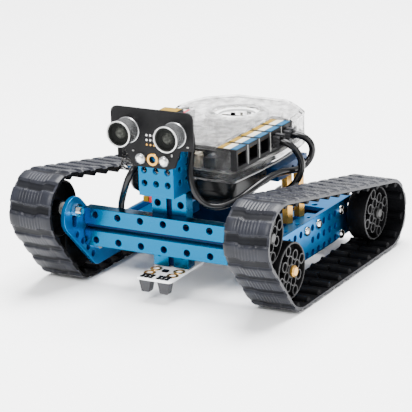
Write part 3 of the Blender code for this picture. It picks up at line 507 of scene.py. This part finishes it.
def make_cable(node, points):
    route = smooth_route(points)
    curve = bpy.data.curves.new(node + "_sheath", "CURVE")
    curve.dimensions = "3D"
    curve.bevel_depth = CABLE_R * MM
    curve.bevel_resolution = 5
    curve.use_fill_caps = True
    spline = curve.splines.new("POLY")
    spline.points.add(len(route) - 1)
    for target, point in zip(spline.points, route):
        target.co = (*(point * MM), 1.0)
    curve.materials.append(CABLE)
    obj = bpy.data.objects.new(node + "_sheath", curve)
    bpy.context.scene.collection.objects.link(obj)
    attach(obj, "chassis")
    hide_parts(node)


# ================================================================== frame
def paint(obj, index, test):
    """Give the faces whose centre (in mm) passes a test another material."""
    for face in obj.data.polygons:
        if test(face.center / MM):
            face.material_index = index


def make_cross_beam():
    """Beam with a dovetail groove along its front, whose floor is painted dark: painted shade in
    the groove.
    """
    low, high = box_mm("cross_beam")
    middle, slot, depth = (low.z + high.z) / 2, 1.7, 2.4
    outline = [(low.y, low.z), (high.y, low.z), (high.y, high.z), (low.y, high.z),
               (low.y, middle + slot), (low.y + depth, middle + slot + 0.5),
               (low.y + depth, middle - 0.3), (low.y + 0.5, middle - slot - 0.1),
               (low.y, middle - slot - 0.5)]
    bm = bmesh.new()
    add_prism(bm, outline, "X", low.x, high.x)
    holes = bmesh.new()
    for x in steps_between(-48, 48, 2 * GRID):
        for z in (middle - GRID, middle + GRID):
            add_cylinder(holes, "Y", (x, (low.y + high.y) / 2, z), HOLE_R, BEAM_CUT)
    beam = piece("cross_beam_fine", bm, [BLUE, HOLE_SHADE_NAVY],
                 nodes=["cross_beam"], cutters=holes, wall=HOLE_SHADE_NAVY, bevel=0.35)
    # The groove's floor is painted dark navy: painted shade.
    paint(beam, 1, lambda c: abs(c.y - low.y - depth) < 0.3 and abs(c.z - middle) < 3)


def make_mast():
    low, high = box_mm("mast_beam")
    slot, depth = 1.7, 2.2
    outline = [(low.x, low.y), (-slot, low.y), (-slot, low.y + depth), (slot, low.y + depth),
               (slot, low.y), (high.x, low.y), (high.x, high.y), (low.x, high.y)]
    bm = bmesh.new()
    add_prism(bm, outline, "Z", low.z, high.z)
    holes = bmesh.new()
    for z in steps_between(low.z + GRID, high.z - GRID, 2 * GRID):
        for x in (-GRID, GRID):
            add_cylinder(holes, "Y", (x, (low.y + high.y) / 2, z), HOLE_R, BEAM_CUT)
    mast = piece("mast_beam_fine", bm, [BLUE, HOLE_SHADE_NAVY],
                 nodes=["mast_beam"], cutters=holes, wall=HOLE_SHADE_NAVY, bevel=0.35)
    # The slot's floor is painted dark navy: painted shade.
    paint(mast, 1, lambda c: abs(c.x) < slot + 0.1 and 0.2 < c.y - low.y < depth + 0.1)


def make_side_plate(side, word):
    """Plate with rounded ends, kit holes, two axle holes and the upper axle's slot."""
    rear_hole_r, slot_r, slot_drop = 5.0, 2.5, 8.5
    outline = arc((-47.5, PLATE_Z[0] + 8), 8, 225, 270, 6)
    outline += arc((PLATE_REAR - 5, PLATE_Z[0] + 5), 5, 270, 360, 8)
    outline += arc((PLATE_REAR - 5, PLATE_Z[1] - 5), 5, 0, 90, 8)
    outline.append((LOBE[0] + LOBE[1] + LOBE_R * math.sqrt(2) - PLATE_Z[1], PLATE_Z[1]))
    outline += arc(LOBE, LOBE_R, 45, 225, 28)
    bm = bmesh.new()
    add_prism(bm, outline, "X", *span(side, *PLATE_X))
    middle = side * sum(PLATE_X) / 2
    holes = bmesh.new()
    rows = [PLATE_Z[0] + 2.2 + GRID * i for i in range(3)]
    for y in steps_between(-20.0, 52.0, GRID):
        for z in rows:
            if z != rows[1] or y >= 20.0:
                add_cylinder(holes, "X", (middle, y, z), HOLE_R, PLATE_CUT)
    diagonal = GRID / math.sqrt(2)
    for step in range(4):
        add_cylinder(holes, "X", (middle, -70.6 + step * diagonal, 34.2 - step * diagonal),
                     HOLE_R, PLATE_CUT)
    add_cylinder(holes, "X", (middle, *AXLES["lower"]), AXLE_BORE_R, PLATE_CUT)
    add_cylinder(holes, "X", (middle, *AXLES["rear"]), rear_hole_r, PLATE_CUT, 32)
    y, top = AXLES["upper"]
    slot = arc((y, top), slot_r, 0, 180, 12) + arc((y, top - slot_drop), slot_r, 180, 360, 12)
    add_prism(holes, slot, "X", *around(middle, PLATE_CUT))
    # The plates take the second blue copy, painted shading, and their hole walls dark blue,
    # painted shade.
    piece(f"side_plate_{word}_fine", bm, BLUE_SHADING_COPY,
          nodes=[f"side_plate_{word}"], cutters=holes, wall=HOLE_SHADE_BLUE, bevel=0.3)
    screws = ((12.0, rows[2]), (28.0, rows[2]), (60.0, rows[2]), (60.0, rows[0]))
    for number, place in enumerate(screws, 1):
        make_screw(f"plate_screw_{word}_{number}", (side * PLATE_X[1], *place), side, 3.1, 1.9)


def screw_profile(radius, height):
    """Pan head standing on along = 0. Points 5 and 6 are its hexagonal socket."""
    return [(0.0, 0), (0.0, radius), (0.35 * height, radius),
            (0.7 * height, 0.86 * radius), (0.92 * height, 0.62 * radius),
            (height, 0.46 * radius), (0.45 * height, 0.42 * radius), (0.45 * height, 0)]


def make_screw(name, centre, side, radius, height):
    bm = bmesh.new()
    profile = [(side * along, reach) for along, reach in screw_profile(radius, height)]
    add_turned(bm, profile, centre, "X", 24, sockets=(5, 6))
    piece(name, bm, STEEL, smooth=50)


def make_frame():
    make_cross_beam()
    make_mast()
    for side, word in SIDES:
        make_side_plate(side, word)
        # Long beams and motor mounts take the second blue copy: painted shading.
        for node in ("long_beam_", "motor_mount_"):
            dress(node + word, BLUE_SHADING_COPY)
        # The case rails are painted darker blue: painted shade under the case.
        dress(f"case_rail_{word}", BLUE_RAIL_SHADE)
        dress(f"motor_{word}", CAN, 0.8)
        for place in ("upper", "lower"):
            dress(f"axle_{place}_{word}", STEEL, 0.0)
            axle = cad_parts[f"axle_{place}_{word}"]
            axle.data.materials.append(BRASS if place == "lower" else SHADOWED_STEEL)
            # Upper axle ends are dark steel: painted shade.
            paint(axle, 1, lambda c: abs(c.x) > AXLE_END_X)
            dress(f"spacer_{place}_{word}", NYLON, 0.2)
        dress(f"drive_shaft_{word}", SHADOWED_STEEL, 0.0)
        for index in (1, 2):
            dress(f"standoff_{word}_{index}", BRASS, 0.3)
    # The rear beam is painted near-black blue: painted shade.
    dress("rear_beam", BLUE_PAINTED_SHADE)
    dress("sensor_bracket", BLUE)
    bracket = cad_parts["sensor_bracket"]
    bracket.data.materials.append(BLUE_SHADING_COPY)
    # Faces turned sideways take the second blue copy: painted shading by the way each face turns
    # to the light.
    for face in bracket.data.polygons:
        if abs(face.normal.x) > 0.7:
            face.material_index = 1


# ======================================================== belts and wheels
class BeltPath:
    """Closed path round the three axles, measured along one radius."""

    def __init__(self, radius):
        self.radius = radius
        self.pieces = []
        corners = [Vector(AXLES[k]) for k in ("lower", "upper", "rear")]
        lines = [(a, b, (b - a).normalized())
                 for a, b in zip(corners, corners[1:] + corners[:1])]
        for i, (start, end, along) in enumerate(lines):
            turn = along.angle_signed(lines[(i + 1) % 3][2])
            self.pieces.append(("line", start, along, (end - start).length))
            self.pieces.append(("arc", end, along, abs(turn) * radius))
        self.length = sum(p[3] for p in self.pieces)

    def place(self, distance, radius):
        """(Y, Z) at a distance along the path, on another radius."""
        distance %= self.length
        for kind, origin, along, length in self.pieces:
            if distance <= length:
                break
            distance -= length
        outward = Vector((-along.y, along.x))
        if kind == "line":
            return origin + along * distance + outward * radius
        outward.rotate(Matrix.Rotation(-distance / self.radius, 2))
        return origin + outward * radius


def blend_step(value, low, high):
    """Smooth step from 0 at low to 1 at high."""
    t = max(0.0, min(1.0, (value - low) / (high - low)))
    return t * t * (3 - 2 * t)


# Places along one pitch, close together where a lug's flank rises
BELT_SHARES = (0.0, 0.02, 0.05, 0.08, 0.12, 0.17, 0.22, 0.27, 0.31, 0.335, 0.36, 0.40, 0.50,
               0.60, 0.62, 0.64, 0.66, 0.68, 0.76, 0.88)


def lug_height(share):
    return blend_step(share, 0.0, 0.08) * (1 - blend_step(share, 0.60, LUG_SHARE))


def tooth_height(share):
    if not 0.0 < share < TOOTH_SHARE:
        return 0.0
    return math.sin(math.pi * share / TOOTH_SHARE) ** 0.45


def wave(across):
    """Lengthwise shift of a lug's edges: the middle third runs ahead."""
    return 1.5 * (blend_step(abs(across), 0.28, 0.40) - 0.5) + 0.35 * math.sin(9 * across)


def rib(across):
    """Fine grooves over the middle of a lug's face."""
    if abs(across) > 0.62:
        return 0.0
    return 0.5 - 0.5 * math.cos(across * 2 * math.pi * 7)


def make_belt(side, word):
    """Belt as rings across it: lugs with rounded ends outside, two rows of teeth inside."""
    path = BeltPath(BELT_INNER_R)
    pitch = path.length / BELT_PITCHES
    low, high = BELT_X
    middle, half = (low + high) / 2, (high - low) / 2
    edge = [0.68, 0.78, 0.90, 0.965, 1.0]
    outer = [-t for t in reversed(edge)] + [i / 28 for i in range(-18, 19)] + edge
    inner = [low]
    for a, b in TOOTH_ROWS:
        inner += [a - 0.7, a, a + 0.5, (a + b) / 2, b - 0.5, b, b + 0.7]
    inner += [high]
    bm = bmesh.new()
    rings = []
    for i in range(BELT_PITCHES):
        for share in BELT_SHARES:
            station = (i + share) * pitch
            ring = []
            for t in outer:
                round_off = 1 - blend_step(abs(t), 0.90, 1.0)
                height = lug_height(share)
                radius = BELT_WEB_R + (LUG_R - BELT_WEB_R) * height * (0.55 + 0.45 * round_off)
                radius -= 0.26 * rib(t) * height
                y, z = path.place(station + wave(t) * 0.55, radius)
                ring.append(bm.verts.new((side * (middle + half * t), y, z)))
            for x in reversed(inner):
                tooth = 0.0
                for a, b in TOOTH_ROWS:
                    tooth = max(tooth, blend_step(x, a - 0.7, a) * (1 - blend_step(x, b, b + 0.7)))
                radius = BELT_INNER_R - (BELT_INNER_R - TOOTH_TIP_R) * tooth * tooth_height(share)
                y, z = path.place(station, radius)
                ring.append(bm.verts.new((side * x, y, z)))
            rings.append(ring)
    count = len(rings[0])
    # Faces inside the belt, and the web between lugs, take darker copies of the rubber: painted
    # shade.
    for i, (a, b) in enumerate(zip(rings, rings[1:] + rings[:1])):
        shaded_gap = BELT_SHARES[i % len(BELT_SHARES)] > 0.66
        for k in range(count):
            m = (k + 1) % count
            face = bm.faces.new((a[k], a[m], b[m], b[k]))
            if k >= len(outer):
                face.material_index = 1
            elif shaded_gap and 1 < k < len(outer) - 3:
                face.material_index = 2
    piece(f"belt_{word}_tread", bm, [RUBBER, RUBBER_INNER_SHADE, RUBBER_GAP_SHADE],
          nodes=[f"belt_{word}"], smooth=42)


def make_wheel(side, word, place):
    """Rim, hub and a square lattice of rings on a set-back web, with grey outer edges."""
    node = f"wheel_{place}_{word}"
    low, high = box_mm(node)
    centre = ((low.x + high.x) / 2, *AXLES[place])
    half = WHEEL_WIDTH / 2
    web_r, lattice, ring_out, ring_in = 16.6, 7.0, 3.35, 2.55
    twist = math.radians(16)
    bm = bmesh.new()

    def turned(profile, sides, at=(0.0, 0.0)):
        add_turned(bm, [(side * along, r) for along, r in profile],
                   (centre[0], centre[1] + at[0], centre[2] + at[1]), "X", sides)

    turned([(-half, WHEEL_R - 0.4), (-half + 0.4, WHEEL_R), (half - 0.4, WHEEL_R),
            (half, WHEEL_R - 0.4), (half, web_r), (half - 0.3, 16.4), (-half, 16.4)], 72)
    turned([(half - 6.5, web_r), (half - 5.0, web_r), (half - 5.0, AXLE_BORE_R),
            (half - 6.5, AXLE_BORE_R)], 48)
    turned([(half - 0.3, 4.0), (half - 0.7, 4.4), (-half, 5.0), (-half, AXLE_BORE_R),
            (half - 0.3, AXLE_BORE_R)], 32)
    spots = [(lattice * a, lattice * b) for a in range(-2, 3) for b in range(-2, 3)
             if (a or b) and abs(a) + abs(b) <= 2]
    for u, v in spots:
        at = (u * math.cos(twist) - v * math.sin(twist), u * math.sin(twist) + v * math.cos(twist))
        reach = math.hypot(*at)
        outward = min(1.0, (WHEEL_R - 0.4 - ring_out) / reach)
        at = (at[0] * outward, at[1] * outward)
        turned([(half - 5.2, ring_out), (half - 0.4, ring_out), (half - 0.2, ring_out - 0.15),
                (half - 0.2, ring_in + 0.15), (half - 0.4, ring_in), (half - 5.2, ring_in)],
               24, at)
    for face in bm.faces:
        if (face.calc_center_median().x - centre[0]) * side > half - 0.55:
            face.material_index = 1
    piece(f"{node}_fine", bm, [WHEEL_BLACK, WHEEL_EDGE],
          body=f"{place}_wheel_{word}", nodes=[node], smooth=50)


# ================================================================= sensor
def make_sensor():
    dress("sensor_board", BOARD, 0.25)
    dress("sensor_jack", BLACK, 0.3)
    face = box_mm("sensor_board")[0].y
    for side, word in SIDES:
        make_eye(word, face)
        screw = bmesh.new()
        centre = (side * GRID, face, SENSOR_SCREW_Z)
        add_turned(screw, [(-a, r) for a, r in screw_profile(3.5, 2.3)], centre, "Y", 28,
                   sockets=(5, 6))
        piece(f"sensor_screw_{word}_head", screw, CAN, smooth=50)
    dress("sensor_screw_left", STEEL, 0.0)
    dress("sensor_screw_right", STEEL, 0.0)
    ring = bmesh.new()
    add_turned(ring, [(face - 0.35, 2.3), (face - 0.35, 3.7), (face, 3.9), (face, 2.3)],
               (0, 0, SENSOR_SCREW_Z), "Y", 32)
    piece("sensor_board_pad", ring, GOLD, smooth=50)
    dots, pads = bmesh.new(), bmesh.new()
    for row in range(3):
        for column in range(-1, 2):
            target = pads if row == 0 else dots
            add_turned(target, [(face - 0.5, 0), (face - 0.4, 0.45), (face - 0.05, 0.8),
                                (face + 0.1, 0.8), (face + 0.1, 0)],
                       (2.54 * column - 1.0, 0, 97.6 + 2.9 * row), "Y", 12)
    piece("sensor_solder", dots, BRIGHT_SOLDER_AND_RIM_HIGHLIGHT, smooth=60)
    piece("sensor_gold_pads", pads, GOLD, smooth=60)
    parts = bmesh.new()
    for x, z, w, h in ((-25, 99.5, 1.4, 0.8), (13.5, 92.6, 0.9, 1.6), (-13, 93.0, 1.2, 0.8),
                       (24.5, 98.8, 1.3, 0.8)):
        add_box(parts, around(x, w), (face - 0.5, face + 0.1), around(z, h))
    piece("sensor_small_parts", parts, PART_GREY, bevel=0.12)
    low, high = box_mm("sensor_jack")
    label = bmesh.new()
    add_box(label, (low.x + 0.6, high.x - 0.6), (low.y + 1.2, high.y - 1.0),
            (high.z - 0.1, high.z + 0.25))
    piece("sensor_jack_label", label, LABEL_YELLOW, bevel=0.08)


def make_eye(word, face):
    low, high = box_mm(f"eye_{word}")
    centre = ((low.x + high.x) / 2, 0, (low.z + high.z) / 2)
    front, r = low.y, EYE_R
    can = bmesh.new()
    add_turned(can, [(face, 5.5), (face, r), (face - 1.0, r), (face - 1.2, r - 0.35),
                     (front + 1.2, r - 0.35), (front + 0.9, r - 0.1), (front + 0.9, 6.5),
                     (front + 3.4, 6.5), (front + 3.4, 5.5)], centre, "Y", 64)
    shell = piece(f"eye_{word}_can", can, [CAN, CONE_AND_CAN_SHADE], nodes=[f"eye_{word}"],
                  smooth=40)
    # The can's inner lip and inner wall take the dark cone colour: painted shade inside the can.
    paint(shell, 1, lambda c: math.hypot(c.x - centre[0], c.z - centre[2]) < 7.26)
    # The rim is lighter than the can: painted highlight.
    rim = bmesh.new()
    add_turned(rim, [(front + 0.95, 7.2), (front + 0.95, r - 0.1), (front + 0.35, r),
                     (front, r - 0.3), (front, 7.45), (front + 0.3, 7.2)], centre, "Y", 64)
    piece(f"eye_{word}_rim", rim, BRIGHT_SOLDER_AND_RIM_HIGHLIGHT, smooth=50)
    back = bmesh.new()
    add_turned(back, [(front + 3.3, 0), (front + 3.3, 6.6), (front + 4.0, 6.6),
                      (front + 4.0, 0)], centre, "Y", 40)
    add_turned(back, [(front + 2.0, 0), (front + 2.1, 2.4), (front + 3.4, 3.6),
                      (front + 3.5, 0)], centre, "Y", 32)
    cone = piece(f"eye_{word}_cone", back, [CONE_AND_CAN_SHADE, CONE_TIP_REFLECTION], smooth=40)
    # The cone's centre is painted lighter: painted reflection.
    paint(cone, 1, lambda c: math.hypot(c.x - centre[0], c.z - centre[2]) < 3.1
          and c.y < front + 3.2)
    grille = bmesh.new()
    reach = 6.5
    for i in range(-7, 8):
        at = i * 0.86
        chord = math.sqrt(reach ** 2 - at ** 2)
        add_cylinder(grille, "Z", (centre[0] + at, front + 1.5, centre[2]), 0.11, 2 * chord, 4)
        add_cylinder(grille, "X", (centre[0], front + 1.7, centre[2] + at), 0.11, 2 * chord, 4)
    piece(f"eye_{word}_grille", grille, DARK_MESH, smooth=60)


# =================================================================== case
def make_case():
    """Clear case, with the board inside it and a scatter of parts on the board."""
    light_count, light_circle_r, scatter = 12, 16.2, 190
    for node, width in (("case_cover", 0.7), ("case_base", 0.5)):
        dress(node, CLEAR, width)
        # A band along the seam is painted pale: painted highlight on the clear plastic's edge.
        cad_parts[node].data.materials.append(PALE_DIVIDER_AND_SEAM_HIGHLIGHT)
        paint(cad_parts[node], 1, lambda c: abs(c.z - CASE_SEAM) < 0.2)
    dress("circuit_board", CASE_BOARD, 0.15)
    dress("line_gland", BLACK, 0.2)
    dress("light_ring", WHITE_BOARD, 0.15)
    lights = bmesh.new()
    ring_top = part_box("light_ring")[1][2] / MM
    for i in range(light_count):
        angle = 2 * math.pi * i / light_count
        x = RING_CENTRE[0] + light_circle_r * math.cos(angle)
        y = RING_CENTRE[1] + light_circle_r * math.sin(angle)
        add_cylinder(lights, "Z", (x, y, ring_top + 0.18), 1.5, 0.4, 16)
    piece("ring_lights", lights, LABEL_WHITE, bevel=0.1)
    marks = bmesh.new()
    add_box(marks, (1.0, 4.0), (49.0, 52.4), (ring_top - 0.1, ring_top + 0.5))
    add_box(marks, (-12.6, -9.6), (22.0, 24.6), (ring_top - 0.1, ring_top + 0.9))
    add_cylinder(marks, "Z", (-14.4, 25.8, ring_top + 0.2), 1.1, 0.7, 16)
    piece("ring_dark_parts", marks, BLACK, bevel=0.1)

    chips, cans, pale, golden = bmesh.new(), bmesh.new(), bmesh.new(), bmesh.new()
    for x, y, w, d, h in ((-8, -10, 14, 14, 2.0), (12, -26, 9, 7, 1.8), (14, 2, 8, 10, 1.8),
                          (-18, -30, 7, 9, 2.2), (-20, 60, 12, 8, 3.0), (16, 60, 10, 7, 2.4)):
        add_box(chips, around(x, w), around(y, d), (BOARD_SEAT, BOARD_TOP + h))
        for k in range(int(w / 1.4)):
            pin = x - w / 2 + 0.9 + k * 1.4
            for edge in (-1, 1):
                y_pin = y + edge * (d / 2 + 0.5)
                add_box(golden, (pin - 0.25, pin + 0.25), (y_pin - 0.5, y_pin + 0.5),
                        (BOARD_SEAT, BOARD_TOP + 0.5))
    for x, y, r, h in ((-22, -12, 3.0, 9), (22, -14, 3.2, 9.5), (22, -34, 2.8, 8),
                       (-24, 10, 3.1, 9), (24, 8, 2.6, 8)):
        add_turned(cans, [(BOARD_TOP, 0), (BOARD_TOP, r), (BOARD_TOP + h - 0.5, r),
                          (BOARD_TOP + h, r - 0.5), (BOARD_TOP + h, 0)], (x, y, 0), "Z", 24)
    for _ in range(scatter):
        x, y = random.uniform(-26, 26), random.uniform(-36, 66)
        if math.hypot(x - RING_CENTRE[0], y - RING_CENTRE[1]) < 12:
            continue
        w, d = random.choice(((1.6, 0.8), (0.8, 1.6), (2.8, 1.6), (3.6, 2.4)))
        add_box(random.choice((pale, pale, chips)), around(x, w), around(y, d),
                (BOARD_SEAT, BOARD_TOP + random.uniform(0.8, 7.5)))
    piece("board_chips", chips, BLACK, bevel=0.15)
    piece("board_capacitors", cans, CAN, smooth=45)
    piece("board_small_parts", pale, LABEL_WHITE, bevel=0.08)
    piece("board_pins", golden, GOLD)

    ribs = bmesh.new()
    for k in range(9):
        x = -16 + 3.6 * k
        add_box(ribs, (x - 1.4, x + 1.4), (-42.6, -36.0), (BOARD_SEAT, BOARD_TOP + 8.6))
    add_box(ribs, (-17.8, 15.2), (-41.6, -36.6), (BOARD_SEAT, BOARD_TOP + 7.4))
    piece("front_terminals", ribs, CREAM, bevel=0.3)
    socket = bmesh.new()
    add_box(socket, (-30.0, -21.0), (-42.8, -32.0), (BOARD_SEAT, BOARD_TOP + 9.0))
    add_box(socket, (17.6, 25.6), (-42.4, -31.0), (BOARD_SEAT, BOARD_TOP + 7.0))
    add_box(socket, (4.0, 24.0), (-30.0, -24.0), (BOARD_SEAT, BOARD_TOP + 10.5))
    piece("power_socket", socket, BLACK, bevel=0.4)
    button = bmesh.new()
    add_box(button, (-24.0, -14.0), (-8.0, 4.0), (BOARD_SEAT, BOARD_TOP + 6.5))
    piece("red_button_block", button, RED, bevel=0.6)


def make_ports(side, word, used):
    """Row of sockets with three colour strips on top, and a plug in each socket in used."""
    dress(f"port_row_{word}", BLACK, 0.3)
    contacts, dividers = bmesh.new(), bmesh.new()
    strips = (("outer", span(side, 36.6, 41.0), LABEL_BLUE, bmesh.new()),
              ("middle", span(side, 31.8, 36.4), LABEL_WHITE, bmesh.new()),
              ("inner", span(side, 27.8, 31.6), LABEL_YELLOW if word == "right" else LABEL_RED,
               bmesh.new()))
    for i in range(PORT_COUNT):
        y = PORT_FIRST_Y + i * PORT_PITCH
        for _, across, _, strip in strips:
            add_box(strip, across, (y - 5.7, y + 5.7), (PORT_TOP - 0.05, PORT_TOP + 0.22))
        for k in range(0 if i in used else 6):
            y_pin = y - 2.6 + k * 1.04
            add_box(contacts, span(side, 33.0, 39.5), (y_pin - 0.16, y_pin + 0.16),
                    (87.5, 87.9))
        if i:
            edge = y - PORT_PITCH / 2
            add_box(dividers, span(side, PORT_SIDE - 0.4, PORT_SIDE + 0.25),
                    (edge - 0.45, edge + 0.45), (79.4, 91.2))
    piece(f"port_contacts_{word}", contacts, GOLD)
    piece(f"port_dividers_{word}", dividers, PALE_DIVIDER_AND_SEAM_HIGHLIGHT, bevel=0.12)
    for band, _, mat, strip in strips:
        piece(f"port_label_{band}_{word}", strip, mat, bevel=0.08)
    for i in used:
        y = PORT_FIRST_Y + i * PORT_PITCH
        plug = bmesh.new()
        add_box(plug, span(side, 38.0, 45.5), (y - 4.6, y + 4.6), (81.0, 88.0))
        piece(f"port_plug_{word}_{i + 1}", plug, CLEAR_PLUG, bevel=0.5,
              cutters=plug_bore(side, y))
        latch = bmesh.new()
        add_box(latch, span(side, 38.5, 47.0), (y - 1.6, y + 1.6), (88.2, 89.1))
        piece(f"plug_latch_{word}_{i + 1}", latch, CLEAR_PLUG, bevel=0.3)


def plug_bore(side, y):
    """Way through a plug for its cable, a little wider than the cable."""
    bore = bmesh.new()
    add_cylinder(bore, "X", (side * 42.0, y, PORT_Z), CABLE_R + 0.25, 16, 24)
    return bore


# ============================================== battery, line sensor, wires
def make_battery_box():
    low, high = box_mm("battery_box")
    centre = ((low.x + high.x) / 2, (low.y + high.y) / 2)
    width, length = high.x - low.x, high.y - low.y
    bm = bmesh.new()
    levels = ((0.0, 10.0), (0.5, 6.0), (1.6, 3.2), (4.0, 0.8), (7.0, 0.0), (high.z - low.z, 0.0))
    add_loft(bm, [[(x, y, low.z + rise) for x, y in
                   rounded_rect(width - 2 * inset, length - 2 * inset, 7.0, centre, 10)]
                  for rise, inset in levels])
    grooves = bmesh.new()
    for y in (low.y - 0.6, high.y + 0.6):
        add_box(grooves, (low.x - 1, high.x + 1), (y - 1.0, y + 1.0), (63.4, 64.2))
    piece("battery_box_shell", bm, GLOSS_BLACK, nodes=["battery_box"],
          cutters=grooves, smooth=40)
    plug = bmesh.new()
    add_box(plug, (-21.4, -17.6), (-49.4, -44.6), (53.6, 57.2))
    piece("battery_lead_plug", plug, LABEL_YELLOW, bevel=0.5)
    tail = bmesh.new()
    add_box(tail, (-17.5, -14.8), (-49.2, -44.8), (53.4, 57.4))
    piece("battery_lead_tail", tail, RED, bevel=0.5)


def make_line_sensor():
    dress("line_board", WHITE_BOARD, 0.2)
    dress("line_jack", BLACK, 0.3)
    for _, word in SIDES:
        dress(f"line_eye_{word}", SENSOR_GREY, 0.4)
    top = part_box("line_board")[1][2] / MM
    rings = bmesh.new()
    for x in (-GRID, GRID):
        for y in (-67.0, -59.0):
            add_turned(rings, [(top + 0.02, HOLE_R), (top + 0.4, HOLE_R + 0.1),
                               (top + 0.4, 3.6), (top + 0.02, 3.9)], (x, y, 0), "Z", 28)
    piece("line_board_rings", rings, GOLD, smooth=50)
    parts = bmesh.new()
    for x in (-8.6, -5.6, -2.6, 2.6, 5.6, 8.6):
        for y, w, d in ((-75.4, 2.2, 1.6), (-73.2, 1.6, 1.8), (-71.2, 2.4, 1.1)):
            add_box(parts, around(x, w), around(y, d), (top + 0.02, top + 0.8))
    add_box(parts, (-1.9, 1.9), (-63.4, -60.2), (top + 0.02, top + 1.0))
    piece("line_board_parts", parts, BLACK, bevel=0.12)


# ================================================================== build
make_camera()
make_stage()
make_cable("motor_cable_right", MOTOR_ROUTE)
make_cable("sensor_cable", SENSOR_ROUTE)
make_cable("line_cable", LINE_ROUTE)
make_frame()
for side, word in SIDES:
    make_belt(side, word)
    for place in AXLES:
        make_wheel(side, word, place)
make_sensor()
make_case()
make_ports(-1, "left", ())
make_ports(1, "right", (3, 4))
make_battery_box()
make_line_sensor()
